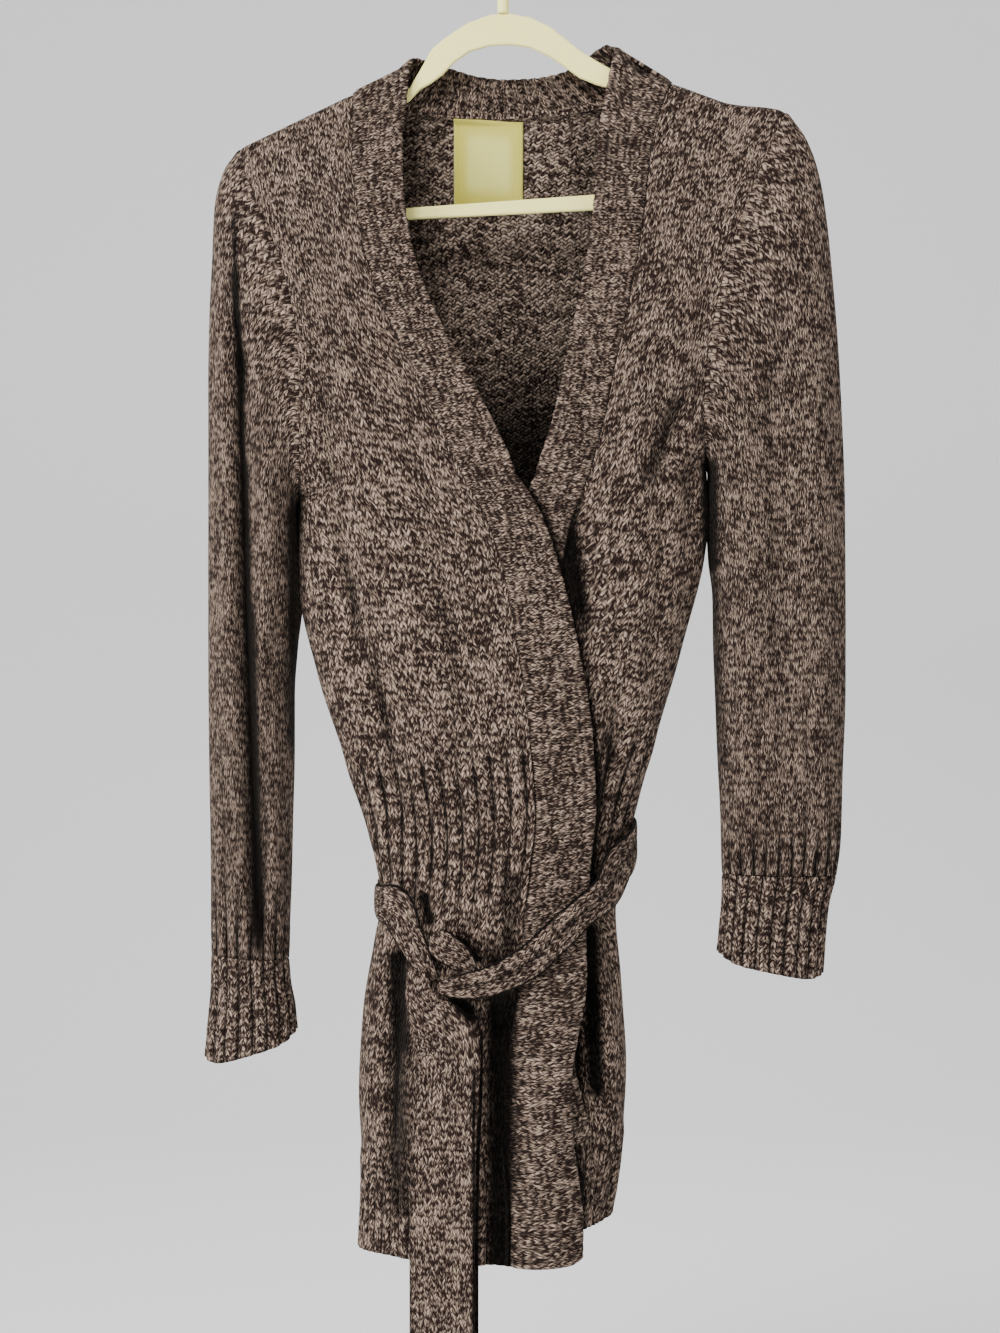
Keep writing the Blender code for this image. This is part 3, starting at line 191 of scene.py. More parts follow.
# %% Points of the fronts and the back
def sides(level):
    right, left = read(SIDES, "right_x", level), read(SIDES, "left_x", level)
    return right, left, (right + left) / 2, (left - right) / 2


def signed_power(value, power):
    return np.copysign(np.abs(value) ** power, value)


def section_x(q, level):
    _, _, middle, half = sides(level)
    return middle + half * signed_power(-np.cos(np.pi * q), SECTION_POWER)


def section_q(x, level):
    _, _, middle, half = sides(level)
    cosine = signed_power(np.clip((x - middle) / half, -1, 1), 1 / SECTION_POWER)
    return np.arccos(-cosine) / np.pi


def section_depth(q, level, face):
    """Depth of the front or the back: round at the side seams, open at the armholes."""
    right, left, _, _ = sides(level)
    middle_depth = read(DEPTHS, face, level)
    across = (section_x(q, level) - right) / (left - right)
    rounded = np.abs(np.sin(np.pi * q)) ** SECTION_POWER
    swell = mix(rounded, 4 * across * (1 - across), smooth((level - ARMPIT) / 1.5))
    edge = np.where(level > ARMPIT, read(DEPTHS, "armhole", level), 0.0)
    return edge + (middle_depth - edge) * swell


def side_line_z(x, level):
    right, left, _, _ = sides(level)
    across = (x - right) / (left - right)
    return mix(read(SIDES, "right_z", level), read(SIDES, "left_z", level), across)


def pushed_in(x, y, z, level, amount):
    """Points moved by amount towards the middle of their section."""
    _, _, middle, _ = sides(level)
    inward_x, inward_y = -0.4 * (x - middle), -y
    length = np.maximum(np.hypot(inward_x, inward_y), 0.001)
    return np.stack((x + inward_x / length * amount, y + inward_y / length * amount, z), axis=-1)


def side_calm(q):
    return smooth(q / 0.06) * smooth((1 - q) / 0.06)


def left_sag(across):
    """The left shoulder dips behind its collar, which stands higher."""
    return -10 * smooth(across / 0.4) * smooth((1 - across) / 0.16)


def outer_front(q, level, fine=FINE_OUTER_FOLDS):
    """The wearer's right front, which lies on top."""
    x = section_x(q, level)
    z = side_line_z(x, level)
    z = z - HEM_DROP * smooth((x + 100) / 130) * smooth((4.5 - level) / 4.5)
    right_x, right_z = read(SIDES, "right_x", level), read(SIDES, "right_z", level)
    across = (x - right_x) / (read(OUTER_EDGE, "edge_x", level) - right_x)
    z = np.where(level > ARMPIT, mix(right_z, read(OUTER_EDGE, "edge_z", level), across), z)
    amount = fold_inside(x, level, OUTER_FOLDS + fine) * side_calm(q)
    return pushed_in(x, -section_depth(q, level, "front"), z, level, amount)


def under_front(q, level, fine=FINE_UNDER_FOLDS):
    """The wearer's left front, which passes beneath the other one."""
    x = section_x(q, level)
    left_x, left_z = read(SIDES, "left_x", level), read(SIDES, "left_z", level)
    across = (left_x - x) / (left_x - read(UNDER_EDGE, "edge_x", level))
    shoulder_z = mix(left_z, read(UNDER_EDGE, "edge_z", level), across)
    shoulder_z = shoulder_z + left_sag(across) * smooth((level - 26) / 4)
    z = np.where(level > ARMPIT, shoulder_z, side_line_z(x, level))
    beneath = smooth((read(OUTER_EDGE, "edge_x", level) + 44 - x) / 28)
    amount = (read(TUCK, "inside", level) + fold_inside(x, level, OUTER_FOLDS)) * beneath
    amount = amount + fold_inside(x, level, UNDER_FOLDS + fine)
    return pushed_in(x, -section_depth(q, level, "front"), z, level, amount * side_calm(q))


RIGHT_NECK_X = float(OUTER_EDGE["seam_x"][-1])
LEFT_NECK_X = float(UNDER_EDGE["seam_x"][-1])


def shoulder_line_z(x):
    """Top of the back: shoulder, neck seam, shoulder."""
    right_across = (x + 190) / (-66 + 190)
    left_across = (209 - x) / (209 - 84)
    on_right = mix(-179.2, -119.2, right_across)
    on_left = mix(-152.2, -105.7, left_across) + left_sag(left_across)
    return on_right, on_left


def back_top_z(x):
    on_right, on_left = shoulder_line_z(x)
    start = shoulder_line_z(np.array(RIGHT_NECK_X))[0]
    end = shoulder_line_z(np.array(LEFT_NECK_X))[1]
    t = np.clip((x - RIGHT_NECK_X) / (LEFT_NECK_X - RIGHT_NECK_X), 0, 1)
    neck = mix(start, end, t) - 17 * np.sin(np.pi * t) ** 0.7
    return np.where(x <= RIGHT_NECK_X, on_right, np.where(x >= LEFT_NECK_X, on_left, neck))


def back_panel(q, level, fine=FINE_BACK_FOLDS):
    x = section_x(q, level)
    y = section_depth(q, level, "back")
    z = side_line_z(x, level)
    rise = np.clip((level - ARMPIT) / (SHOULDER - ARMPIT), 0, 1) ** 1.3
    z = z + rise * (back_top_z(x) - side_line_z(x, np.full_like(level, SHOULDER)))
    t = np.clip((x - RIGHT_NECK_X) / (LEFT_NECK_X - RIGHT_NECK_X), 0, 1)
    y = y + 13 * np.sin(np.pi * t) ** 0.4 * smooth((level - 26.5) / 3.5)
    amount = fold_inside(x, level, BACK_FOLDS + fine) * side_calm(q)
    return pushed_in(x, y, z, level, amount)


def even_q(shares, level, first, last):
    """The q at even lengths along each section, between two others."""
    steps = np.linspace(0, 1, 97)
    rows = []
    for row_level, row_first, row_last in zip(level, first, last):
        levels = np.full_like(steps, row_level)
        x, y = section_x(steps, levels), section_depth(steps, levels, "front")
        lengths = np.concatenate(([0], np.cumsum(np.hypot(np.diff(x), np.diff(y)))))
        start, end = np.interp((row_first, row_last), steps, lengths)
        rows.append(np.interp(mix(start, end, shares), lengths, steps))
    return np.array(rows)


print("waist is", round(float(sides(np.array(10.0))[3]) * 2), "mm across")

# %% [markdown]
# ## From a flat grid to a hung panel
#
# A knitted panel is flat when it comes off the needles. Here it starts as a flat grid, one square
# for each small patch of cloth, and each corner is moved to its place on the hung garment. The UV
# map is the flat panel in metres, so the stitches follow the cloth: they lean where it leans and
# close up where it is pulled in. A Solidify modifier then gives the cloth its thickness, with a
# second material slot for the wrong side of the knit.

# %% A helper that makes a cloth shell through a grid of points
def grid_normals(points, closed=False):
    """Unit normals of a grid of points, rows first."""
    if closed:
        ring = points[:, :-1]
        along = np.roll(ring, -1, axis=1) - np.roll(ring, 1, axis=1)
        along = np.concatenate((along, along[:, :1]), axis=1)
    else:
        along = np.gradient(points, axis=1)
    normals = np.cross(along, np.gradient(points, axis=0))
    return normals / np.maximum(np.linalg.norm(normals, axis=2, keepdims=True), 1e-9)


def facing(points, normals, outward):
    """Normals turned so that the middle one points along outward."""
    middle = normals[normals.shape[0] // 2, normals.shape[1] // 2]
    return normals if float(middle @ np.array(outward, float)) > 0 else -normals


def length_across(points, row=None):
    line = points[points.shape[0] // 2 if row is None else row]
    return float(np.linalg.norm(np.diff(line, axis=0), axis=1).sum()) * MM


def shade_at(points, shades):
    """How dark marked folds are, from 0 to 1, at points of a panel.

    Each fold is x and z of its top, x and z of its bottom, half width in mm, and depth of shade.
    The darkness is painted shade in the colour, on points in front of y = 2 mm only.
    """
    x, z = points[..., 0], points[..., 2]
    dark = np.zeros_like(x)
    for x_top, z_top, x_bottom, z_bottom, half_width, strength in shades:
        down = (z_top - z) / (z_top - z_bottom)
        off = x - mix(x_top, x_bottom, down)
        ends = smooth((down + 0.06) / 0.16) * smooth((1.06 - down) / 0.16)
        dark = np.maximum(dark, strength * ends * bell(off / half_width) * (points[..., 1] < 2))
    return dark


def hollows(points, normals, closed, reach, full):
    """How far each point lies in a trough across the panel, from 0 on a ridge to 1 deep down."""
    step = length_across(points) / MM / (points.shape[1] - 1)
    half = max(int(reach / step), 1)
    spare = np.pad(points, ((0, 0), (half, half), (0, 0)), mode="wrap" if closed else "reflect")
    total = np.cumsum(np.pad(spare, ((0, 0), (1, 0), (0, 0))), axis=1)
    average = (total[:, 2 * half + 1:] - total[:, :-2 * half - 1]) / (2 * half + 1)
    depth = np.einsum("ijk,ijk->ij", average - points, normals)
    return np.clip(depth / full, 0, 1)


def cloth(name, points, flat, outward, materials, closed=False, ribs=None, valley=0.0, thickness=WALL):
    """A shell through points (rows, columns, xyz in mm).

    flat is (u, v), the same points on the flat panel in metres. outward is the way that the
    middle of the panel faces. ribs is how far each point is raised, in mm, and valley is how
    dark the painted shade is at each point, from 0 to 1: between ribs, along marked folds and
    beside edges. Points deep in a fold get painted shade as well.
    """
    rows, columns = points.shape[:2]
    normals = facing(points, grid_normals(points, closed), outward)
    # Painted shade: the deeper a point lies in a fold, at two widths, the darker its colour is painted.
    trough = np.maximum(hollows(points, normals, closed, 14.0, 2.6),
                        hollows(points, normals, closed, 34.0, 8.0))
    if ribs is not None:
        points = points + normals * ribs[..., None]
    bm = bmesh.new()
    bm.loops.layers.uv.new("UVMap")
    bmesh.ops.create_grid(bm, x_segments=columns - 1, y_segments=rows - 1, size=0.5, calc_uvs=True)
    mesh = bpy.data.meshes.new(name)
    bm.to_mesh(mesh)
    bm.free()
    place = np.zeros(len(mesh.vertices) * 3)
    mesh.vertices.foreach_get("co", place)
    place = place.reshape(-1, 3)
    column = np.rint((place[:, 0] + 0.5) * (columns - 1)).astype(int)
    row = np.rint((place[:, 1] + 0.5) * (rows - 1)).astype(int)
    mesh.vertices.foreach_set("co", (points[row, column] * MM).ravel())
    corners = np.zeros(len(mesh.loops), dtype=int)
    mesh.loops.foreach_get("vertex_index", corners)
    u, v = np.broadcast_to(flat[0], (rows, columns)), np.broadcast_to(flat[1], (rows, columns))
    spread = np.stack((u[row, column], v[row, column]), axis=1)[corners]
    mesh.uv_layers[0].data.foreach_set("uv", spread.ravel())
    # The painted shade of each point, which the knit materials read to darken their colour.
    painted_shade = mesh.attributes.new("painted_shade", "FLOAT", "POINT")
    painted_shade.data.foreach_set("value", np.maximum(trough, valley + 0 * trough)[row, column])
    mesh.update()
    middle = mesh.polygons[(rows // 2) * (columns - 1) + columns // 2].normal
    if middle.dot(Vector(outward)) < 0:
        mesh.flip_normals()
    if closed:
        welded = bmesh.new()
        welded.from_mesh(mesh)
        bmesh.ops.remove_doubles(welded, verts=welded.verts, dist=0.00001)
        welded.to_mesh(mesh)
        welded.free()
    mesh.shade_smooth()
    piece = bpy.data.objects.new(name, mesh)
    bpy.context.scene.collection.objects.link(piece)
    for material in materials:
        mesh.materials.append(material)
    shell = piece.modifiers.new("thickness", "SOLIDIFY")
    shell.thickness = thickness * MM
    shell.offset = 0.0
    shell.material_offset = 1 if len(materials) > 1 else 0
    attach(piece, "root")
    return piece


def lengths_down(points):
    """Distance from the first row of a grid along each column, in metres."""
    return np.cumsum(np.linalg.norm(np.diff(points, axis=0, prepend=points[:1]), axis=2), axis=0) * MM


print("cloth helper ready")

# %% [markdown]
# ## The knit, as shader nodes
#
# Stocking stitch is columns of small Vs, each about 5.5 mm wide. The rows are drawn a little higher
# than real ones, 4 to 5 mm, so that the legs slant enough. The yarn is marled: dark brown and cream
# plies twisted together, so each leg of a V shows more of one or the other.
# A group of maths nodes finds the leg that a point lies on from the UV map, picks a shade for it
# at random, and puts out the height of the round yarn. The wrong side has rows of small arcs
# instead, and looks darker. Both are groups, so each material sets its own stitch size.

# %% A small helper for building node groups
def feed(tree, node, values):
    """Give a node's sockets numbers, or links to other sockets, in their order."""
    for socket, value in zip(node.inputs, values):
        if isinstance(value, (int, float)):
            socket.default_value = value
        else:
            tree.links.new(value, socket)


def maths(tree, operation, *values):
    node = tree.nodes.new("ShaderNodeMath")
    node.operation = operation
    feed(tree, node, values)
    return node.outputs[0]


def noise(tree, vector, scale, detail=2.0, roughness=0.5):
    node = tree.nodes.new("ShaderNodeTexNoise")
    node.inputs["Scale"].default_value = scale
    node.inputs["Detail"].default_value = detail
    node.inputs["Roughness"].default_value = roughness
    tree.links.new(vector, node.inputs["Vector"])
    return node.outputs["Fac"]


def join_xyz(tree, x, y, z=0.0):
    node = tree.nodes.new("ShaderNodeCombineXYZ")
    feed(tree, node, (x, y, z))
    return node.outputs[0]


def split_xyz(tree, vector):
    node = tree.nodes.new("ShaderNodeSeparateXYZ")
    tree.links.new(vector, node.inputs[0])
    return node.outputs


def ramp(tree, value, low, high, to_low=0.0, to_high=1.0):
    node = tree.nodes.new("ShaderNodeMapRange")
    node.interpolation_type = "SMOOTHSTEP"
    tree.links.new(value, node.inputs["Value"])
    for name, number in (("From Min", low), ("From Max", high), ("To Min", to_low), ("To Max", to_high)):
        node.inputs[name].default_value = number
    return node.outputs["Result"]


def stitch_group(name):
    """A group from the UV map to shade and relief of a stitch: its ends, and x and y of the map."""
    group = bpy.data.node_groups.new(name, "ShaderNodeTree")
    group.interface.new_socket("UV", in_out="INPUT", socket_type="NodeSocketVector")
    for socket, value in (("Width", 0.0055), ("Height", 0.004), ("Seed", 0.0)):
        item = group.interface.new_socket(socket, in_out="INPUT", socket_type="NodeSocketFloat")
        item.default_value = value
    for socket in ("Shade", "Relief"):
        group.interface.new_socket(socket, in_out="OUTPUT", socket_type="NodeSocketFloat")
    given, out = group.nodes.new("NodeGroupInput"), group.nodes.new("NodeGroupOutput")
    return group, given, out, split_xyz(group, given.outputs["UV"])


def new_surface(name, **inputs):
    """A new material, its tree and its shader, with inputs of the shader set by their names."""
    material = bpy.data.materials.new(name)
    material.use_nodes = True
    shader = material.node_tree.nodes["Principled BSDF"]
    for key, value in inputs.items():
        shader.inputs[key.replace("_", " ")].default_value = value
    return material, material.node_tree, shader


def blend(tree, share, first, second):
    """A colour between two others."""
    node = tree.nodes.new("ShaderNodeMix")
    node.data_type = "RGBA"
    node.inputs["A"].default_value = first
    node.inputs["B"].default_value = second
    tree.links.new(share, node.inputs["Factor"])
    return node.outputs["Result"]


def bump(tree, shader, height, distance, strength):
    node = tree.nodes.new("ShaderNodeBump")
    node.inputs["Distance"].default_value = distance
    node.inputs["Strength"].default_value = strength
    tree.links.new(height, node.inputs["Height"])
    tree.links.new(node.outputs[0], shader.inputs["Normal"])


# %% The stocking stitch group
def stocking_stitch():
    """Shade and height of each leg of each V, from the UV map in metres."""
    group, given, out, place = stitch_group("stocking_stitch")
    wander = noise(group, given.outputs["UV"], 260.0, 2.0)
    shift = maths(group, "MULTIPLY", maths(group, "SUBTRACT", wander, 0.5), 0.5)
    u = maths(group, "ADD", maths(group, "DIVIDE", place[0], given.outputs["Width"]), shift)
    v = maths(group, "ADD", maths(group, "DIVIDE", place[1], given.outputs["Height"]), shift)
    across = maths(group, "SUBTRACT", maths(group, "FRACT", u), 0.5)
    leg = maths(group, "ABSOLUTE", across)
    along = maths(group, "SUBTRACT", v, maths(group, "MULTIPLY", leg, 2.9))
    row = maths(group, "FLOOR", along)
    girth = maths(group, "FRACT", along)
    side = maths(group, "SIGN", across)
    column = maths(group, "FLOOR", u)
    cell = join_xyz(group, maths(group, "MULTIPLY_ADD", column, 2.0, side), row, given.outputs["Seed"])
    random_leg = group.nodes.new("ShaderNodeTexWhiteNoise")
    group.links.new(cell, random_leg.inputs["Vector"])
    strand = maths(group, "MULTIPLY_ADD", random_leg.outputs["Value"], 9.0, maths(group, "MULTIPLY", u, 2.6))
    ply = noise(group, join_xyz(group, strand,
                                maths(group, "MULTIPLY", along, 1.3), given.outputs["Seed"]), 1.0, 1.0, 0.5)
    twist = maths(group, "ADD", maths(group, "MULTIPLY", leg, 2.2), maths(group, "MULTIPLY", girth, 0.45))
    twist = maths(group, "ADD", twist, maths(group, "MULTIPLY", random_leg.outputs["Value"], 3.0))
    twist = maths(group, "ADD", twist, maths(group, "MULTIPLY", ply, 1.6))
    stripe = maths(group, "SINE", maths(group, "MULTIPLY", twist, 2 * math.pi))
    patch = noise(group, given.outputs["UV"], 38.0, 2.0, 0.5)
    tone = maths(group, "ADD", maths(group, "MULTIPLY", stripe, 0.22),
                 maths(group, "MULTIPLY", random_leg.outputs["Value"], 0.36))
    tone = maths(group, "ADD", tone, maths(group, "MULTIPLY", ply, 0.80))
    tone = maths(group, "ADD", tone, maths(group, "MULTIPLY_ADD", patch, 0.30, -0.15))
    group.links.new(ramp(group, tone, 0.38, 1.0), out.inputs["Shade"])
    round_yarn = maths(group, "SINE", maths(group, "MULTIPLY", girth, math.pi))
    plump = maths(group, "SINE", maths(group, "MULTIPLY", leg, 2 * math.pi))
    shape = maths(group, "MULTIPLY", maths(group, "POWER", round_yarn, 0.6),
                  maths(group, "MULTIPLY_ADD", plump, 0.55, 0.45))
    group.links.new(shape, out.inputs["Relief"])
    return group


# %% The wrong side, rows of arcs
def purl_stitch():
    group, given, out, place = stitch_group("purl_stitch")
    wander = noise(group, given.outputs["UV"], 240.0, 2.0)
    shift = maths(group, "MULTIPLY", maths(group, "SUBTRACT", wander, 0.5), 0.8)
    v = maths(group, "ADD", maths(group, "DIVIDE", place[1],
                                  maths(group, "MULTIPLY", given.outputs["Height"], 0.55)), shift)
    bow = maths(group, "SINE", maths(group, "MULTIPLY", place[0], 2 * math.pi / 0.0055))
    v = maths(group, "ADD", v, maths(group, "MULTIPLY", bow, 0.35))
    row = maths(group, "FLOOR", v)
    stagger = maths(group, "MULTIPLY", maths(group, "MODULO", row, 2.0), 0.5)
    u = maths(group, "ADD", maths(group, "DIVIDE", place[0], given.outputs["Width"]), stagger)
    u = maths(group, "ADD", u, shift)
    across = maths(group, "FRACT", u)
    cell = join_xyz(group, maths(group, "FLOOR", u), row, given.outputs["Seed"])
    random_arc = group.nodes.new("ShaderNodeTexWhiteNoise")
    group.links.new(cell, random_arc.inputs["Vector"])
    ply = noise(group, join_xyz(group, maths(group, "MULTIPLY", u, 2.6),
                                maths(group, "MULTIPLY", v, 1.1), 4.0), 1.0, 1.0, 0.5)
    tone = maths(group, "ADD", maths(group, "MULTIPLY", random_arc.outputs["Value"], 0.30),
                 maths(group, "MULTIPLY", ply, 1.1))
    group.links.new(ramp(group, tone, 0.50, 0.92), out.inputs["Shade"])
    shape = maths(group, "MULTIPLY",
                  maths(group, "SINE", maths(group, "MULTIPLY", across, math.pi)),
                  maths(group, "SINE", maths(group, "MULTIPLY", maths(group, "FRACT", v), math.pi)))
    group.links.new(maths(group, "POWER", shape, 0.6), out.inputs["Relief"])
    return group


STOCKING = stocking_stitch()
PURL = purl_stitch()
print("stitch groups:", STOCKING.name, PURL.name)

# %% [markdown]
# ## Yarn materials
#
# Wool scatters light at its loose fibres, so its edges look pale. That is the sheen of the
# Principled shader. Shade is painted into the base colour where little light gets in: between the
# legs of the stitches, in the valleys between ribs, in folds and beside overlapping edges. An
# attribute of each panel says how dark this painted shade is at each point.

# %% Materials of the knit
DARK_YARN = (0.019, 0.0105, 0.0085, 1)
LIGHT_YARN = (0.365, 0.268, 0.208, 1)


def knit(name, group, seed, dark=DARK_YARN, light=LIGHT_YARN, width=0.0055, height=0.0046,
         depth=0.0012, deepest=0.03, lit_from=None):
    material, tree, shader = new_surface(
        name, Roughness=0.95, Specular_IOR_Level=0.06, Sheen_Weight=0.04, Sheen_Roughness=0.45,
        Sheen_Tint=(0.72, 0.60, 0.52, 1))
    uv = tree.nodes.new("ShaderNodeUVMap")
    stitches = tree.nodes.new("ShaderNodeGroup")
    stitches.node_tree = group
    tree.links.new(uv.outputs["UV"], stitches.inputs["UV"])
    for socket, value in (("Width", width), ("Height", height), ("Seed", seed)):
        stitches.inputs[socket].default_value = value
    painted_shade = tree.nodes.new("ShaderNodeAttribute")
    painted_shade.attribute_name = "painted_shade"
    # Painted shade: the colour is darker between the stitch legs, and where a point's painted shade is high,
    # down to deepest.
    painted_light_share = maths(tree, "MULTIPLY", ramp(tree, stitches.outputs["Relief"], 0.05, 0.75, 0.16, 1.0),
                       ramp(tree, painted_shade.outputs["Fac"], 0.0, 0.85, 1.0, deepest))
    # Painted shade on the inside: darker below the height lit_from and darker away from the middle.
    if lit_from is not None:
        place = split_xyz(tree, tree.nodes.new("ShaderNodeTexCoord").outputs["Object"])
        painted_light_share = maths(tree, "MULTIPLY", painted_light_share,
                           ramp(tree, place[2], lit_from - 0.09, lit_from, 0.09, 1.0))
        beside = maths(tree, "ABSOLUTE", place[0])
        painted_light_share = maths(tree, "MULTIPLY", painted_light_share, ramp(tree, beside, 0.03, 0.075, 1.0, 0.55))
    shaded = tree.nodes.new("ShaderNodeVectorMath")
    shaded.operation = "SCALE"
    tree.links.new(blend(tree, stitches.outputs["Shade"], dark, light), shaded.inputs[0])
    tree.links.new(painted_light_share, shaded.inputs["Scale"])
    tree.links.new(shaded.outputs[0], shader.inputs["Base Color"])
    fuzz = noise(tree, uv.outputs["UV"], 2200.0, 2.0, 0.7)
    height_sum = maths(tree, "ADD", stitches.outputs["Relief"], maths(tree, "MULTIPLY", fuzz, 0.35))
    bump(tree, shader, height_sum, depth, 1.0)
    return material


PANEL_YARN = knit("panel_yarn", STOCKING, 1.0)
SLEEVE_YARN = knit("sleeve_yarn", STOCKING, 2.0, width=0.0057, height=0.0050)
RIB_YARN = knit("rib_yarn", STOCKING, 3.0, width=0.0049, height=0.0038)
BELT_YARN = knit("belt_yarn", STOCKING, 5.0, width=0.0052, height=0.0042)
# The wrong side gets painted shade towards the bottom of the neck opening and towards its sides.
WRONG_SIDE = knit("wrong_side_yarn", PURL, 7.0, light=(0.33, 0.247, 0.193, 1), depth=0.0010,
                  lit_from=-0.30)
print("yarns:", [m.name for m in bpy.data.materials if "yarn" in m.name])

# %% [markdown]
# ## Ribs
#
# Ribs are columns of knit stitches standing up between columns of purl ones. They are real relief,
# about 1.5 mm deep, so they are raised in the mesh and show on the edges of the garment too. The
# waist ribs fade out upwards into the plain knit. The colour in their valleys is darkened too:
# painted shade.

# %% Relief of a rib, and fine unevenness of the cloth
RIB_DEPTH = 1.9


def rib_valley(distance, pitch):
    """How deep a place lies between two ribs, 1 in the middle of the valley, for metres."""
    off = (distance / pitch) % 1.0 - 0.5
    return bell(off / 0.21)


def body_ribs(u, level):
    """Height of hem and waist ribs of a body panel in mm, and how deep their valleys are."""
    hem = smooth((2.9 - level) / 0.5)
    waist = smooth((14.9 - level) / 1.6) * smooth((level - 8.6) / 0.9)
    # The ribs vary a little in depth; the valley depth that is returned also sets the painted shade in them.
    rib_unevenness = 0.86 + 0.14 * np.sin(level * 1.9 + u * 410) * np.sin(level * 0.7 - u * 230)
    valley = np.maximum(hem * rib_valley(u, 0.0076), waist * rib_valley(u, 0.0110)) * rib_unevenness
    return RIB_DEPTH * (np.maximum(hem, waist) - valley), 0.95 * valley


def uneven(points, size, amount, seed):
    """Soft unevenness of hung cloth: a few long waves across each other, in mm."""
    chance = random.Random(seed)
    total = np.zeros(points.shape[:2])
    for _ in range(7):
        angle = chance.uniform(0, 2 * math.pi)
        length = size * chance.uniform(0.7, 1.6)
        phase = chance.uniform(0, 2 * math.pi)
        run = points[..., 0] * math.cos(angle) + 0.45 * points[..., 2] * math.sin(angle)
        total += np.sin(2 * math.pi * run / length + phase)
    return amount * total / 4


print("waist rib pitch 11.0 mm, hem rib pitch 7.6 mm")

# %% [markdown]
# ## Back and fronts
#
# The right front lies over the left one, as on the photographed garment. Each front stops at the
# seam of its band. Both fronts and the back share the side seams, which are drawn in a little, as a
# sewn seam is.

# %% The three body panels
HEM_TO_SHOULDER = np.unique(np.round(np.concatenate((
    np.linspace(0, 14.6, 96), np.linspace(14.6, 28, 52), np.linspace(28, 30, 14))), 4))


def seam_draw(u, width, inset=0.004, depth=1.1):
    """Cloth pulled in along both sewn edges of a panel, in mm."""
    near = np.minimum(u, width - u)
    return -depth * bell(near / inset)


# Painted shade on the fronts and bands, columns as in shade_at: dark folds, gaps round the knot and shadows
# under the belt.
RIGHT_SHADES = ((3, -776, 2, -940, 11.5, 1.0), (2, -925, 2, -985, 8, 0.85),
                (-73, -758, -70, -835, 9, 1.0), (-74, -815, -69, -950, 12, 0.66),
                (-146, -415, -149, -512, 5, 0.95),
                (-54, -716, -48.5, -741, 4.2, 1.0), (-31, -747, -15, -767, 6, 1.0),
                (-36, -784, -20, -806, 8, 1.0), (9, -700, 5, -765, 9, 0.6))
STRAND_SHADES = ((66, -728, 4, -782, 7, 0.7), (3, -776, 2, -940, 11.5, 1.0))
LEFT_SHADES = ((64, -735, 70, -868, 7, 1.0), (44, -430, 49, -500, 13, 1.0),
               (148, -405, 151, -488, 4.5, 0.95), (60, -640, 66, -735, 6, 0.9),
               (128, -358, 107, -424, 9, 0.6))


def beside_edge(points, levels):
    """Shade that the free edge of the right front casts on the left one beneath it."""
    return 0.85 * bell((points[..., 0] - read(OUTER_EDGE, "edge_x", levels)) / 5.0)


def fuller_and_drawn(points):
    """Fullness below each armpit, and the waist drawn in where the belt pulls on its seam."""
    x, z = points[..., 0], points[..., 2]
    full = np.where(x < 0, 4.2 * bell((z + 478) / 38), 5.2 * bell((z + 449) / 36))
    near_side = np.clip(np.abs(x) / np.where(z < -600, 95, 150), 0, 1) ** 8
    drawn_in = 3.4 * bell((z + 723) / 17) * (x < 0)
    points[..., 0] += np.sign(x) * (full - drawn_in) * near_side
    return points


def body_panel(name, surface, first, last, columns, outward, band_at, shades=(), seed=1, calm=0.5):
    """A panel from hem to shoulder. band_at is the share across from which stitches are counted."""
    level = HEM_TO_SHOULDER
    shares = np.linspace(0, 1, columns)
    q = even_q(shares, level, first, last)
    levels = np.repeat(level[:, None], columns, axis=1)
    points = surface(q, levels)
    wide = np.array([length_across(points, row) for row in range(len(level))])
    width = float(wide.mean())
    u = (shares[None, :] - band_at) * (wide[:, None] ** 0.5) * width ** 0.5
    v = lengths_down(points)
    relief, valley = body_ribs(u, levels)
    wave = uneven(points, 70.0, 1.3, seed) * smooth(levels / 1.2) * smooth((30 - levels) / 1.5)
    points = fuller_and_drawn(points.copy())
    points[..., 1] += wave * side_calm(q) * calm
    points[..., 2] += 6 * (bell(q / 0.025) + bell((1 - q) / 0.025)) * smooth((0.9 - levels) / 0.9)
    ribs = relief + seam_draw(shares[None, :] * width, width)
    # Painted shade: rib valleys, the marked shades and, on the left front, the shadow of the right front's
    # free edge.
    panel = cloth(name, points, (u, v), outward, (PANEL_YARN, WRONG_SIDE),
                  ribs=np.maximum(ribs, -1.1), valley=np.maximum(
                      np.maximum(0.86 * valley, shade_at(points, shades)),
                      beside_edge(points, levels) * (surface is under_front)))
    print(name, "is at most", round(float(wide.max()), 3), "m wide and",
          round(float(v[-1].max()), 3), "m long")
    return panel


outer_seam = section_q(read(OUTER_EDGE, "seam_x", HEM_TO_SHOULDER) - 0.2, HEM_TO_SHOULDER)
under_seam = section_q(read(UNDER_EDGE, "seam_x", HEM_TO_SHOULDER) + 0.2, HEM_TO_SHOULDER)
zeros, ones = np.zeros_like(HEM_TO_SHOULDER), np.ones_like(HEM_TO_SHOULDER)
right_front = body_panel("knit_front_right", outer_front, zeros, outer_seam, 200, (0, -1, 0), 1.0,
                         RIGHT_SHADES)
left_front = body_panel("knit_front_left", under_front, under_seam, ones, 170, (0, -1, 0), 0.0, LEFT_SHADES,
                        seed=2)
back = body_panel("knit_back", back_panel, zeros, ones, 296, (0, 1, 0), 0.5, seed=3, calm=1.0)
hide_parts("front_right_outer")
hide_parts("front_left_under")
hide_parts("back")

# %% [markdown]
# ## Bands
#
# The front bands are ribbed across, so each rib runs from the seam to the free edge. The rib
# pattern is laid out by length along the band, not by height, so the ribs stay evenly spaced where
# the edge slants. The free edge is thick: a band is knitted double or rolls a little.

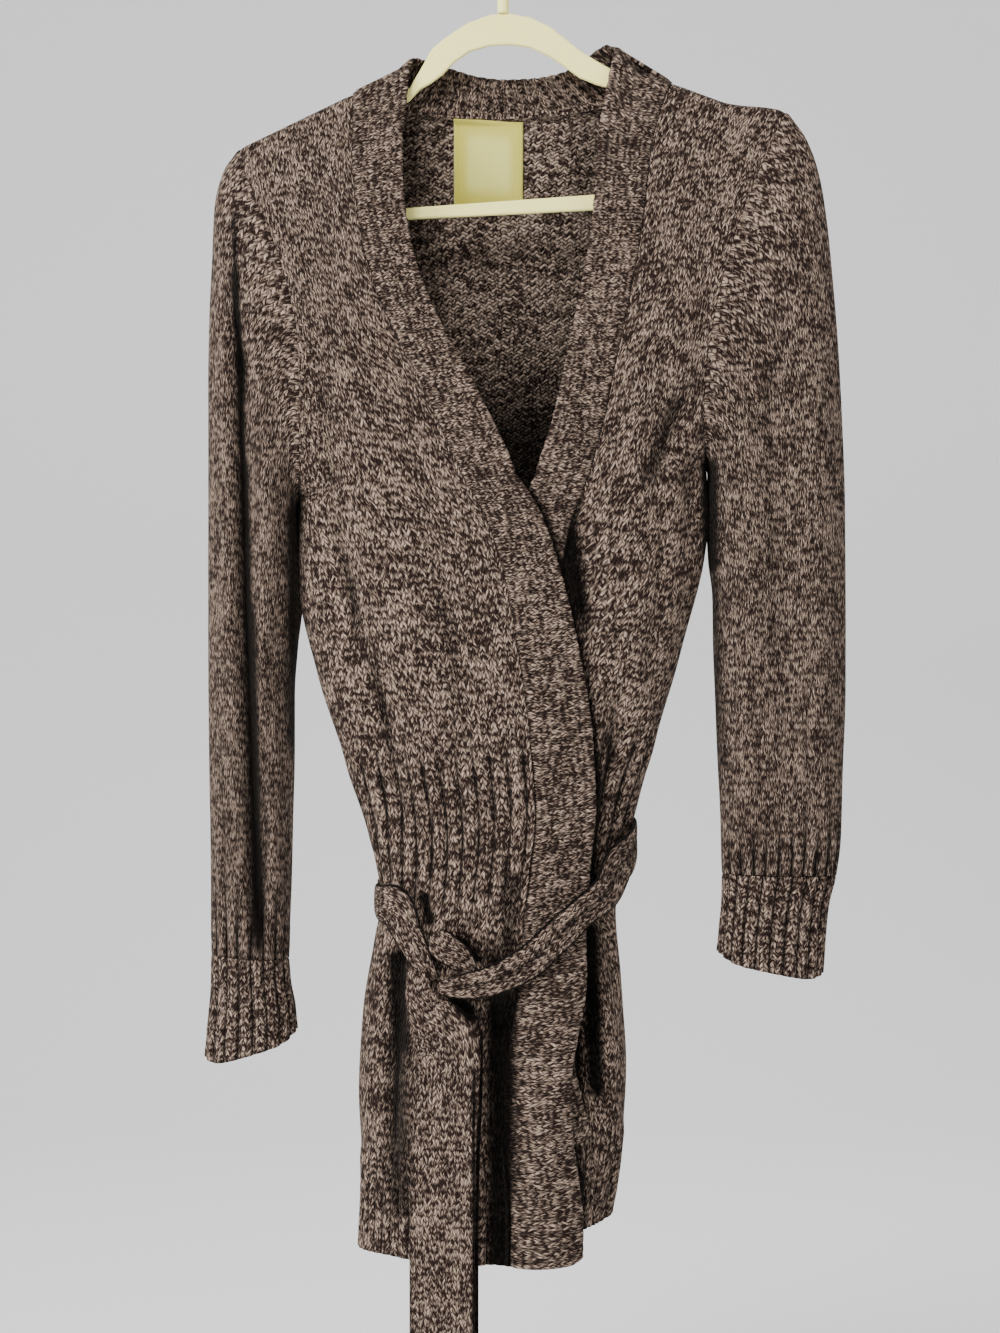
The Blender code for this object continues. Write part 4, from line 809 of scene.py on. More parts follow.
# %% Bands of both fronts
def even_rows(surface, edge, low, high, spacing):
    """Levels at even lengths along a band's middle line, and those lengths in metres."""
    level = np.linspace(low, high, 900)
    x = (read(edge, "seam_x", level) + read(edge, "edge_x", level)) / 2
    line = surface(section_q(x, level), level)
    lengths = np.concatenate(([0], np.cumsum(np.linalg.norm(np.diff(line, axis=0), axis=1))))
    even = np.linspace(0, lengths[-1], int(lengths[-1] / spacing))
    return np.interp(even, lengths, level), even * MM


def front_band(name, surface, edge, side, low, node):
    level, along = even_rows(surface, edge, low, 30.0, 1.25)
    across = np.concatenate(([0, 0.03, 0.07], np.linspace(0.12, 0.9, 12), [0.95, 0.98, 1.0]))
    seam, free = read(edge, "seam_x", level), read(edge, "edge_x", level)
    x = mix(seam[:, None] + side * 0.2, free[:, None], across[None, :])
    levels = np.repeat(level[:, None], len(across), axis=1)
    points = surface(section_q(x, levels), levels)
    points[..., 2] += 4.5 * smooth((across - 0.80) / 0.25)[None, :] * smooth(1 - along[:, None] / 0.012)
    wobble = 0.12 * np.sin(along[:, None] * 95) + 0.10 * np.sin(along[:, None] * 47 + 2)
    ends = smooth(across / 0.10) * smooth((1.015 - across) / 0.05)
    valley = rib_valley(along[:, None] + wobble * 0.004, 0.0098) * ends[None, :]
    lift = 0.8 * RIB_DEPTH * (ends[None, :] - valley) - 1.0 * bell(across[None, :] / 0.05)
    lift = lift + 0.7 * bell((across[None, :] - 0.94) / 0.07)
    # Painted shade: rib valleys, the seam line, the shadows of the belt strands and, on the left band, the
    # shadow of the right front's free edge.
    band = cloth(name, points, (along[:, None], across[None, :] * 0.042), (0, -1, 0),
                 (RIB_YARN, WRONG_SIDE), ribs=np.maximum(lift, -1.0), thickness=2.6,
                 valley=np.maximum(np.maximum(0.34 * valley, 0.6 * bell(across[None, :] / 0.03)),
                                   np.maximum(shade_at(points, STRAND_SHADES),
                                              beside_edge(points, levels) * (surface is under_front))))
    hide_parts(node)
    print(name, "is", round(float(along[-1]), 3), "m long, with", int(along[-1] / 0.0098), "ribs")
    return band


right_band = front_band("band_right", outer_front, OUTER_EDGE, 1, 0.0, "band_front_right")
left_band = front_band("band_left", under_front, UNDER_EDGE, -1, 8.6, "band_front_left")

# %% [markdown]
# ## Band behind the neck
#
# The same band goes on round the back of the neck, where it stands up from the seam. Its free edge
# is a curve in space, given by its own short table.

# %% The collar band
COLLAR = table("t edge_x edge_y edge_z", (
    (0, -66, 0.2, -119.2), (0.07, -61, 6, -111), (0.16, -52, 10.5, -112), (0.28, -34, 14.5, -117),
    (0.4, -14, 17, -122), (0.5, 4, 18, -123.5), (0.62, 24, 17, -123), (0.74, 42, 14.5, -120.5),
    (0.83, 56, 11.5, -115), (0.9, 67, 9, -107), (0.96, 77, 5, -102), (1.0, 84, 0.2, -105.7)))


def collar_band():
    t = np.linspace(0, 1, 210)
    w = np.concatenate(([0, 0.05], np.linspace(0.1, 0.9, 9), [0.95, 1.0]))
    top = np.full_like(t, SHOULDER)
    x = mix(RIGHT_NECK_X, LEFT_NECK_X, t)
    seam = back_panel(section_q(x, top), top)
    seam[:, 2] += 0.9
    edge = np.stack([read(COLLAR, name, t) for name in ("edge_x", "edge_y", "edge_z")], axis=1)
    points = mix(seam[None], edge[None], w[:, None, None])
    bulge = 1.2 * np.sin(np.pi * w)[:, None] * smooth(t / 0.1) * smooth((1 - t) / 0.1)
    points[..., 1] += bulge
    lengths = np.linalg.norm(np.diff(mix(seam, edge, 0.5), axis=0), axis=1)
    along = np.concatenate(([0], np.cumsum(lengths))) * MM
    ends = smooth(w / 0.12) * smooth((1.02 - w) / 0.06)
    valley = rib_valley(along[None, :], 0.0086) * ends[:, None]
    # Painted shade in the rib valleys.
    band = cloth("band_neck_back", points, (along[None, :], w[:, None] * 0.032), (0, 1, 0),
                 (RIB_YARN, RIB_YARN), ribs=RIB_DEPTH * (ends[:, None] - valley), thickness=2.6,
                 valley=0.5 * valley)
    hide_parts("band_neck")
    print("collar band", round(float(along[-1]), 3), "m long")
    return band


neck_band = collar_band()

# %% [markdown]
# ## Turned corner of the under band
#
# The lower corner of the band beneath swings out and shows past the outer band. It is laid on the
# under front's own surface, lifted off it a little.

# %% The corner piece
CORNER = table("t seam_x seam_z edge_x edge_z", (
    (0.0, 24, -814, 40, -806), (0.5, 26, -857, 54, -848), (1.0, 37, -904, 69, -892)))


def level_at(x, z):
    """Level of the body at places seen from the front."""
    low, high = np.full_like(x, -3.0), np.full_like(x, 20.0)
    for _ in range(40):
        middle = (low + high) / 2
        below = side_line_z(x, middle) < z
        low, high = np.where(below, middle, low), np.where(below, high, middle)
    return (low + high) / 2


def corner_piece():
    t = np.linspace(0, 1, 80)
    w = np.linspace(0, 1, 22)
    x = mix(read(CORNER, "seam_x", t)[:, None], read(CORNER, "edge_x", t)[:, None], w[None, :])
    z = mix(read(CORNER, "seam_z", t)[:, None], read(CORNER, "edge_z", t)[:, None], w[None, :])
    level = level_at(x, z)
    points = under_front(section_q(x, level), level)
    normals = facing(points, grid_normals(points), (0, -1, 0))
    points = points + normals * (WALL + 2.0)
    along = np.concatenate(([0], np.cumsum(np.linalg.norm(np.diff(points[:, 10], axis=0), axis=1)))) * MM
    ends = smooth((1.02 - w) / 0.06)[None, :]
    valley = rib_valley(along[:, None], 0.0096) * ends
    # Painted shade in the rib valleys.
    piece = cloth("band_corner_turned", points, (along[:, None], w[None, :] * 0.03), (0, -1, 0),
                  (RIB_YARN, WRONG_SIDE), ribs=RIB_DEPTH * (ends - valley), thickness=2.4,
                  valley=0.5 * valley)
    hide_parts("band_corner")
    return piece


corner = corner_piece()
print("corner piece added")

# %% [markdown]
# ## Sleeves
#
# A set-in sleeve is a tube. Its sections are nearly upright at the armhole, where the tube is sewn
# on, and slant less and less towards the wrist. A table gives the outer and inner end of each
# section seen from the front, and how deep it is. Near the top the sections are drawn to the
# armhole of the body, so the seam closes.

# %% Sleeve tables and sections
RING = "ring outer_x outer_z inner_x inner_z front back"
RIGHT_SLEEVE = table(RING, [(i, *row) for i, row in enumerate((
    (-190, -179.2, -147.6, -438, 40, 40), (-201, -196, -148.6, -446, 41, 40),
    (-207, -222, -147.6, -456, 42, 39), (-208.5, -258, -146.8, -469, 43, 39),
    (-210.5, -300, -146.0, -487, 43, 38), (-211.5, -352, -145.4, -511, 42, 38),
    (-211.5, -410, -148.6, -541, 41, 37), (-211.5, -475, -151, -578, 40, 37),
    (-211.5, -545, -151, -620, 39, 36), (-211, -612, -152, -664, 37, 34),
    (-210, -676, -153, -708, 33, 31), (-208.5, -729, -155.5, -744, 29, 28),
    (-207.5, -764, -157, -768, 26, 26)))])
LEFT_SLEEVE = table(RING, [(i, *row) for i, row in enumerate((
    (209, -152.2, 150.6, -409, 40, 40), (223, -172, 152.4, -417, 38, 38),
    (232, -198, 152.2, -427, 36, 36), (237.5, -232, 152.0, -440, 34, 34),
    (241.5, -272, 152.0, -456, 32, 32), (245.5, -322, 153.0, -478, 31, 30),
    (248.5, -376, 156, -505, 30, 28), (250.5, -438, 156.5, -540, 29, 27),
    (251, -505, 158, -578, 29, 26), (251, -570, 159.5, -617, 28, 25),
    (249, -630, 161.5, -655, 26, 24), (246.5, -678, 163.5, -686, 24, 22),
    (242.5, -707, 165, -706, 22, 20)))])
RIGHT_CUFF = table(RING, (
    (0, -207.5, -764.6, -157, -768.6, 26, 26), (1, -208, -790, -155.5, -786, 24, 24),
    (2, -210.5, -817, -152, -805, 24, 24), (3, -212.5, -846, -150.5, -827, 25, 25)))
LEFT_CUFF = table(RING, (
    (0, 242.5, -707.6, 165, -706.6, 22, 20), (1, 237, -730, 164.5, -727, 20, 18),
    (2, 234.5, -756, 162.5, -748, 19, 18), (3, 233, -785, 161, -770, 20, 19)))
# first ring, last ring, place across, drift, half width, inside
RIGHT_CREASES = (
    (2.0, 11.8, 0.68, -0.34, 0.13, 16), (3.0, 9.0, 0.30, 0.0, 0.12, -3),
    (1.0, 5.5, 0.40, 0.10, 0.06, 2.4), (6.0, 12.5, 0.24, 0.04, 0.05, 2.2), (8.5, 12.6, 0.80, -0.06, 0.05, 2.4),
    (3.5, 8.0, 0.86, -0.04, 0.05, 2.0))
LEFT_CREASES = (
    (3.0, 11.5, 0.46, 0.0, 0.15, 6), (4.0, 10.0, 0.76, 0.0, 0.12, -3), (1.0, 5.0, 0.30, 0.10, 0.06, 2.6),
    (7.0, 12.6, 0.26, 0.04, 0.05, 2.2), (8.0, 12.6, 0.66, 0.05, 0.05, 2.4), (2.0, 6.5, 0.62, 0.10, 0.07, 2.0))
BACK_CREASES = (
    (2.0, 8.0, 0.35, 0.05, 0.10, 3.0), (5.0, 12.5, 0.62, 0.03, 0.09, 3.2), (8.0, 12.6, 0.25, 0.03, 0.06, 2.2))


def tube(rings, ring, across, side):
    """Points of sleeve sections. across is 0 at the inner end and 1 at the outer one."""
    depth = np.where(side < 0, read(rings, "front", ring), read(rings, "back", ring))
    bulge = np.maximum(4 * across * (1 - across), 0) ** 0.45
    return np.stack((mix(read(rings, "inner_x", ring), read(rings, "outer_x", ring), across),
                     side * depth * bulge,
                     mix(read(rings, "inner_z", ring), read(rings, "outer_z", ring), across)), axis=-1)


def armhole(wearer_side, level, side):
    x, z = read(SIDES, wearer_side + "_x", level), read(SIDES, wearer_side + "_z", level)
    depth = np.where(level > ARMPIT, read(DEPTHS, "armhole", level), 0.0)
    return np.stack((x, side * depth, z), axis=-1)


def run_of(line):
    """Length from the start to each point of a line, as a share of the whole."""
    lengths = np.concatenate(([0], np.cumsum(np.linalg.norm(np.diff(line, axis=0), axis=1))))
    return lengths / lengths[-1]


def round_armhole(wearer_side, rings, count):
    """Levels and sides, from the armpit up the front, evenly spaced on armhole and elbow."""
    level = np.linspace(ARMPIT, SHOULDER, 400)
    seam = armhole(wearer_side, level, -1.0)
    across = (seam[:, 2] - seam[0, 2]) / (seam[-1, 2] - seam[0, 2])
    elbow = tube(rings, np.full_like(across, 7.0), across, -1.0)
    share = 0.35 * run_of(seam) + 0.65 * run_of(elbow)
    half = np.interp(np.linspace(0, 1, count // 2 + 1), share, level)
    levels = np.concatenate((half, half[-2::-1]))
    side = np.concatenate((np.full(len(half), -1.0), np.full(len(half) - 1, 1.0)))
    return levels, side


# Painted shade along the sleeve creases and beside the body, columns as in shade_at.
RIGHT_SLEEVE_SHADES = ((-192, -225, -189, -290, 2.5, 0.75), (-190, -262, -184.5, -415, 4.0, 1.0),
                       (-184.5, -400, -180, -560, 5.2, 1.0), (-180, -500, -174, -765, 6.8, 1.0),
                       (-150, -430, -151, -620, 5, 0.8))
LEFT_SLEEVE_SHADES = ((154, -405, 155, -490, 5, 0.95), (157, -480, 160, -640, 6, 0.6),
                      (192, -330, 196, -560, 6, 0.35))


def sleeve(name, wearer_side, rings, creases, shades, ribs, node, seed):
    levels, side = round_armhole(wearer_side, rings, 150)
    last = float(rings["ring"][-1])
    ring = np.concatenate((np.linspace(0, 1, 10)[:-1], np.linspace(1, last, 130)))
    out = -1 if wearer_side == "right" else 1
    seam = armhole(wearer_side, levels, side)
    low = armhole(wearer_side, np.array(float(ARMPIT)), -1.0)
    high = armhole(wearer_side, np.array(float(SHOULDER)), -1.0)
    across = (seam[:, 2] - low[2]) / (high[2] - low[2])
    rows = np.repeat(ring[:, None], len(levels), axis=1)
    places = np.repeat(across[None, :], len(ring), axis=0)
    sides_all = np.repeat(side[None, :], len(ring), axis=0)
    points = tube(rings, rows, places, sides_all)
    flat = np.stack((mix(low[0], high[0], across),
                     tube(rings, np.zeros_like(across), across, side)[:, 1], seam[:, 2]), axis=1)
    follow = np.clip(1 - ring / 4.5, 0, 1) ** 1.6
    points = points + (seam - flat)[None] * follow[:, None, None]
    near_armpit = smooth((21.5 - levels) / 1.5)
    start = seam + np.stack((out * mix(0.4, 2.4, near_armpit), 0 * levels, 2.2 * near_armpit), axis=1)
    settle = smooth(ring / 0.5)[:, None, None]
    points = mix(start[None], points, settle)
    for face, folds in ((-1, creases), (1, BACK_CREASES)):
        for first, final, place, drift, half_width, inside in folds:
            ends = smooth((rows - first) / 1.2) * smooth((final - rows) / 1.2)
            centre = place + drift * (rows - first) / (final - first)
            amount = inside * ends * bell((places - centre) / half_width)
            points[..., 1] += np.where(sides_all == face, -face * amount, 0)
    wave = uneven(points, 60.0, 0.9, seed) * smooth((ring - 1) / 2)[:, None]
    points[..., 1] += wave
    girth = length_across(points, 60)
    u = run_of(points[60])[None, :] * girth
    gather = smooth((ring - last + 2.2) / 2.0)[:, None]
    valley = gather * rib_valley(run_of(points[-1])[None, :] + 0.3 / ribs, 1 / ribs)
    cap = RIB_DEPTH * (gather - valley) - 1.0 * bell(ring / 0.12)[:, None]
    # Painted shade: in the gathered rib valleys and along the marked creases.
    valley = np.maximum(0.9 * valley, shade_at(points, shades))
    piece = cloth(name, points, (u, lengths_down(points[::-1])[::-1]), (out, 0, 0),
                  (SLEEVE_YARN, WRONG_SIDE), closed=True, ribs=cap, valley=valley)
    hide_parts(node)
    print(name, "is", round(girth, 3), "m round")
    return piece


right_sleeve = sleeve("knit_sleeve_right", "right", RIGHT_SLEEVE, RIGHT_CREASES,
                      RIGHT_SLEEVE_SHADES, 18, "sleeve_right", 5)
left_sleeve = sleeve("knit_sleeve_left", "left", LEFT_SLEEVE, LEFT_CREASES,
                     LEFT_SLEEVE_SHADES, 22, "sleeve_left", 6)

# %% [markdown]
# ## Cuffs
#
# The cuffs are ribbed tubes, narrower than the sleeve, so the sleeve gathers into them. They flare
# a little at the hand, where the ribs are less pulled.

# %% Both cuffs
def cuff(name, rings, out, node, ribs):
    turn = np.linspace(0, 1, ribs * 10 + 1)
    ring = np.linspace(0, 3, 44)
    fine = np.linspace(0, 2 * np.pi, 721)
    oval = np.stack((25 * np.cos(fine), 24 * np.sin(fine)), axis=1)
    angle = np.interp(turn, run_of(oval), fine)
    side = np.where(np.sin(angle) < -1e-9, 1.0, -1.0)
    rows = np.repeat(ring[:, None], len(turn), axis=1)
    points = tube(rings, rows, np.repeat(((1 - np.cos(angle)) / 2)[None, :], len(ring), axis=0),
                  np.repeat(side[None, :], len(ring), axis=0))
    points[..., 2] += 7 * np.abs(np.cos(angle))[None, :] ** 6 * smooth((rows - 2.3) / 0.7)
    girth = length_across(points)
    valley = rib_valley(turn[None, :] + 0.3 / ribs, 1 / ribs) + 0 * ring[:, None]
    lift = RIB_DEPTH * (1 - valley) - 0.5 * bell(ring / 0.08)[:, None]
    # Painted shade in the rib valleys.
    piece = cloth(name, points, (turn[None, :] * girth, lengths_down(points[::-1])[::-1]), (out, 0, 0),
                  (RIB_YARN, WRONG_SIDE), closed=True, ribs=lift, thickness=2.4, valley=0.74 * valley)
    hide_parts(node)
    print(name, "is", round(girth, 3), "m round, with", ribs, "ribs")
    return piece


right_cuff = cuff("cuff_right_ribbed", RIGHT_CUFF, -1, "cuff_right", 18)
left_cuff = cuff("cuff_left_ribbed", LEFT_CUFF, 1, "cuff_left", 22)

# %% [markdown]
# ## Belt
#
# The belt is a long knitted strip. It lies flat behind, is pulled narrow towards the knot, and its
# two ends hang down in front, one on the other. Each stretch is a strip through a few stations:
# place in front view, width, and how far it stands off the body. The stitches run along the strip.

# %% Stations of the belt
BELT_LEFT = ((79.3, -698.6, 31, 8), (71.8, -716, 27, 8.5), (55.7, -730, 23, 9.5), (39, -746, 24, 11),
             (18, -765, 24, 14), (-12, -779, 21, 16), (-30, -781.5, 16, 17.5), (-40, -782, 9, 17.5))
BELT_RIGHT = ((-71.5, -727, 31, 8.4), (-62, -747, 23, 8.2), (-54, -764, 18, 8), (-47, -779, 13, 8))
KNOT = ((-44.2, -744.6, 11, 9), (-39.2, -752, 22, 13.1), (-29, -761, 20, 11.2), (-20, -771, 12, 8))
TAIL_FRONT = ((-55, -771, 14, 13.1), (-54.5, -784, 19, 13.1), (-50, -798, 27, 13.3), (-40, -812, 43, 13.5),
              (-34.5, -830, 45, 13.5), (-36, -861, 45, 13.5), (-38, -900, 46.5, 13.5),
              (-39, -967, 46.5, 13.5), (-39, -1016, 46.5, 13.5), (-39, -1066, 46.5, 13.5))
TAIL_BACK = ((-28, -800, 26, 7.5), (-31, -816, 40, 8.4), (-32.5, -861, 42, 8.8), (-35, -900, 44, 8.8),
             (-36, -967, 44, 8.8), (-36, -1010, 44, 8.8), (-36, -1054, 44, 8.8))
# Painted shade on the tails: under the knot, and a thin dark line down them.
TAIL_SHADES = ((-37, -785, -17, -806, 7, 1.0), (-18.5, -830, -18.5, -1066, 1.6, 0.85))
BELT_WIDTH = 27
# The ends of a strip close over this length, in metres
END_ROUND = 0.0018


def section_stand(q, level):
    """Point of the unfolded front and its level normal."""
    def at(place):
        x = section_x(place, level)
        return np.stack((x, -section_depth(place, level, "front"), side_line_z(x, level)), axis=-1)

    along = at(np.minimum(0.999, q + 0.005)) - at(np.maximum(0.001, q - 0.005))
    normal = np.cross(along, (0.0, 0.0, 1.0))
    normal = normal / np.linalg.norm(normal, axis=-1, keepdims=True)
    return at(q), np.where(normal[..., 1:2] < 0, normal, -normal)


def stand_at(stations):
    """Centres, normals and widths of stations that lie on the fronts."""
    places = np.array(stations, float)
    x, z = places[:, 0], places[:, 1]
    level = np.maximum(0, level_at(x, z))
    point, normal = section_stand(section_q(x, level), level)
    point[:, 2] = z
    return point + normal * places[:, 3:4], normal, places[:, 2]


def eased(values, count):
    """A smooth curve through stations, by length, at count places."""
    values = np.array(values, float)
    lengths = np.concatenate(([0], np.cumsum(np.linalg.norm(np.diff(values[:, :3], axis=0), axis=1))))
    at = np.linspace(0, lengths[-1], count)
    columns = {"at": lengths}
    columns.update({str(i): values[:, i] for i in range(values.shape[1])})
    return np.stack([read(columns, str(i), at) for i in range(values.shape[1])], axis=1), at * MM


def strap(name, centres, normals, widths, node, thickness=3.8, groove=0.0, curl=0.6, first_way=None,
          edge_shade=0.9, shades=()):
    """A knitted strip: a closed padded section carried along the stations."""
    table_rows = np.concatenate((centres, normals, widths[:, None]), axis=1)
    length = np.linalg.norm(np.diff(centres, axis=0), axis=1).sum()
    line, along = eased(table_rows, max(12, int(length / 1.6)))
    centre, normal, width = line[:, :3], line[:, 3:6], line[:, 6]
    normal = normal / np.linalg.norm(normal, axis=1, keepdims=True)
    way = np.gradient(centre, axis=0)
    if first_way is not None:
        near = np.exp(-along / 0.012)[:, None]
        way = mix(way / np.linalg.norm(way, axis=1, keepdims=True), np.array(first_way, float), near)
    sideways = np.cross(normal, way)
    sideways = sideways / np.linalg.norm(sideways, axis=1, keepdims=True)
    turn = np.linspace(0, 1, 49)
    angle = 2 * np.pi * turn
    flat_across = signed_power(-np.cos(angle), 0.55)
    flat_up = signed_power(np.sin(angle), 0.8) * (1 - 0.30 * np.abs(flat_across) ** 3)
    dip = groove * bell(flat_across / 0.28) * (np.sin(angle) > 0)
    edge_roll = curl * 0.3 * bell((np.abs(flat_across) - 0.82) / 0.14) * np.sign(np.sin(angle))
    up = flat_up * thickness / 2 + edge_roll - dip * thickness
    from_end = np.minimum(along, along[-1] - along)
    closing = np.sqrt(np.clip(1 - (1 - from_end / END_ROUND).clip(0, 1) ** 2, 0.02, 1))
    points = (centre[:, None] + sideways[:, None] * (flat_across[None] * (width[:, None] / 2)
                                                     * mix(0.985, 1, closing)[:, None])[..., None]
              + normal[:, None] * (up[None] * closing[:, None])[..., None])
    round_it = np.cumsum(np.linalg.norm(np.diff(points, axis=1, prepend=points[:, :1]), axis=2), axis=1)
    u = (round_it - round_it[:, len(turn) // 4][:, None]) * MM
    # Painted shade: in the groove, along both edges of the strip where it lies on what is beneath, and at
    # marked places.
    deep = 0.55 * bell(flat_across / 0.16) * (np.sin(angle) > 0) * (groove > 0)
    deep = np.maximum(deep, edge_shade * smooth((np.abs(flat_across) - 0.78) / 0.2))
    deep = np.maximum(deep[None, :], shade_at(points, shades))
    bm = bmesh.new()
    uv = bm.loops.layers.uv.new("UVMap")
    painted_shade = bm.verts.layers.float.new("painted_shade")
    bmesh.ops.create_grid(bm, x_segments=len(turn) - 1, y_segments=len(along) - 1, size=0.5, calc_uvs=True)
    for vert in bm.verts:
        column = round((vert.co.x + 0.5) * (len(turn) - 1))
        row = round((vert.co.y + 0.5) * (len(along) - 1))
        for loop in vert.link_loops:
            loop[uv].uv = (u[row, column], along[row])
        vert[painted_shade] = deep[row, column]
        vert.co = points[row, column] * MM
    bmesh.ops.remove_doubles(bm, verts=bm.verts, dist=0.00001)
    bmesh.ops.holes_fill(bm, edges=[edge for edge in bm.edges if edge.is_boundary], sides=0)
    bmesh.ops.recalc_face_normals(bm, faces=bm.faces)
    mesh = bpy.data.meshes.new(name)
    bm.to_mesh(mesh)
    bm.free()
    mesh.shade_smooth()
    mesh.materials.append(BELT_YARN)
    piece = bpy.data.objects.new(name, mesh)
    bpy.context.scene.collection.objects.link(piece)
    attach(piece, "root")
    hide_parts(node)
    print(name, "is", round(float(along[-1]), 3), "m long")
    return piece


# %% The belt round the body
def belt_level(q):
    return mix(9.75, 10.65, q)


def belt_lift(q):
    return mix(1.5, mix(4.7, 6.0, q), smooth(np.asarray(q) / 0.07))


def belt_width(q):
    """The belt is folded narrower where it meets the knotted strand."""
    return mix(19.0, BELT_WIDTH, smooth(q / 0.5))


def belt_behind():
    q = even_q(np.linspace(0, 1, 17), [10.0], [0.0], [1.0])[0]
    level = belt_level(q)
    step = 0.004
    point = back_panel(q, level, ())
    along = back_panel(np.minimum(q + step, 1), level, ()) - back_panel(np.maximum(q - step, 0), level, ())
    normal = np.cross(along, (0.0, 0.0, 1.0))
    normal[:, 2] = 0
    normal[0], normal[-1] = (-1, 0, 0), (1, 0, 0)
    normal = normal / np.linalg.norm(normal, axis=1, keepdims=True)
    normal = np.where((normal[:, 1:2] < -0.001), -normal, normal)
    centres = point + normal * belt_lift(q)[:, None]
    centres[0, 1] = centres[-1, 1] = 0.2
    return strap("belt_round_back", centres, normal, belt_width(q), "belt_back")


def belt_side(name, stations, side_q, node, groove):
    edge = back_panel(np.array([side_q]), np.array([belt_level(side_q)]), ())[0]
    outward = np.array((math.copysign(1, side_q - 0.5), 0, 0))
    first = edge + outward * belt_lift(side_q)
    first[1] = -0.2
    x, z = np.array([stations[0][0]], float), np.array([stations[0][1]], float)
    end_level = level_at(x, z)
    end_q = section_q(x, end_level)
    shares = np.array((0.2, 0.45, 0.72))
    near, normals = section_stand(mix(side_q, end_q, shares), mix(belt_level(side_q), end_level, shares))
    lifts = mix(belt_lift(side_q), stations[0][3], shares ** 0.6)
    widths = mix(belt_width(side_q), stations[0][2], shares)
    far, far_normals, far_widths = stand_at(stations)
    return strap(name, np.concatenate((first[None], near + normals * lifts[:, None], far)),
                 np.concatenate((outward[None], normals, far_normals)),
                 np.concatenate(([belt_width(side_q)], widths, far_widths)), node, groove=groove,
                 first_way=(0, -1, 0))


belt_round = (
    belt_behind(),
    belt_side("belt_left_strand", BELT_LEFT, 1.0, "belt_side_left", 0.12),
    belt_side("belt_right_strand", BELT_RIGHT, 0.0, "belt_side_right", 0.0),
    strap("belt_tie", *stand_at(KNOT), "belt_knot"))
belt_ends = (
    strap("belt_end_front", *stand_at(TAIL_FRONT), "belt_tail_front", thickness=3.6, edge_shade=0.4,
          shades=TAIL_SHADES),
    strap("belt_end_behind", *stand_at(TAIL_BACK), "belt_tail_back", thickness=3.4, shades=TAIL_SHADES))
print("belt of", len(belt_round) + len(belt_ends), "stretches")

# %% [markdown]
# ## Label
#
# A woven satin label is sewn inside the back of the neck: a gold ground with a paler middle and a
# stitched border.

# %% The label, and its satin
def satin():
    material, tree, shader = new_surface("gold_satin_woven", Roughness=0.42, Sheen_Weight=0.3)
    uv = tree.nodes.new("ShaderNodeUVMap")
    place = split_xyz(tree, uv.outputs["UV"])
    x, y = (maths(tree, "ABSOLUTE", maths(tree, "SUBTRACT", place[i], 0.5)) for i in range(2))
    inner = maths(tree, "MULTIPLY", ramp(tree, x, 0.38, 0.25), ramp(tree, y, 0.40, 0.22))
    frame_line = maths(tree, "MAXIMUM", x, y)
    border = maths(tree, "MULTIPLY", ramp(tree, frame_line, 0.425, 0.435),
                   ramp(tree, frame_line, 0.46, 0.45))
    threads = tree.nodes.new("ShaderNodeTexWave")
    threads.inputs["Scale"].default_value = 60.0
    threads.inputs["Distortion"].default_value = 1.0
    tree.links.new(uv.outputs["UV"], threads.inputs["Vector"])
    cloudy = noise(tree, uv.outputs["UV"], 3.0, 2.0)
    share = maths(tree, "ADD", maths(tree, "MULTIPLY", inner, 0.75), maths(tree, "MULTIPLY", cloudy, 0.35))
    share = maths(tree, "SUBTRACT", share, maths(tree, "MULTIPLY", border, 0.35))
    gold = blend(tree, share, (0.50, 0.44, 0.04, 1), (0.63, 0.60, 0.15, 1))
    tree.links.new(gold, shader.inputs["Base Color"])
    bump(tree, shader, threads.outputs["Fac"], 0.0002, 0.6)
    return material


def back_level_at(x, z):
    low, high = np.full_like(x, ARMPIT), np.full_like(x, SHOULDER)
    for _ in range(40):
        middle = (low + high) / 2
        below = back_panel(section_q(x, middle), middle, ())[..., 2] < z
        low, high = np.where(below, middle, low), np.where(below, high, middle)
    return (low + high) / 2


def neck_label():
    across, down = np.linspace(0, 1, 26), np.linspace(0, 1, 34)
    x = mix(-34.0, 17.0, across)[None, :] + 0 * down[:, None]
    z = mix(-151.0, -154.0, across)[None, :] - 64.5 * down[:, None]
    level = back_level_at(x, z)
    points = back_panel(section_q(x, level), level, ())
    normals = facing(points, grid_normals(points), (0, 1, 0))
    puff = 0.9 * np.sin(np.pi * across)[None, :] * np.sin(np.pi * down)[:, None]
    ripple = 0.25 * np.sin(across * 21)[None, :] * bell((down[:, None] - 1) / 0.2)
    points = points - normals * (2.2 + puff + ripple)[..., None]
    label = cloth("label_bare", points, (across[None, :], 1 - down[:, None]), (0, -1, 0), (SATIN,),
                  thickness=0.5)
    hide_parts("neck_label")
    print("label is", round(length_across(points), 4), "by", round(float(lengths_down(points).max()), 4), "m")
    return label


SATIN = satin()
label = neck_label()

# %% [markdown]
# ## Hanger
#
# The hanger is a thin flat plate covered with ivory flock, which is what keeps clothes from
# slipping. Its solid is already right, so it is only given a material: a soft cream with tiny
# fibres, which covers the ferrule too. The hook is polished wire.

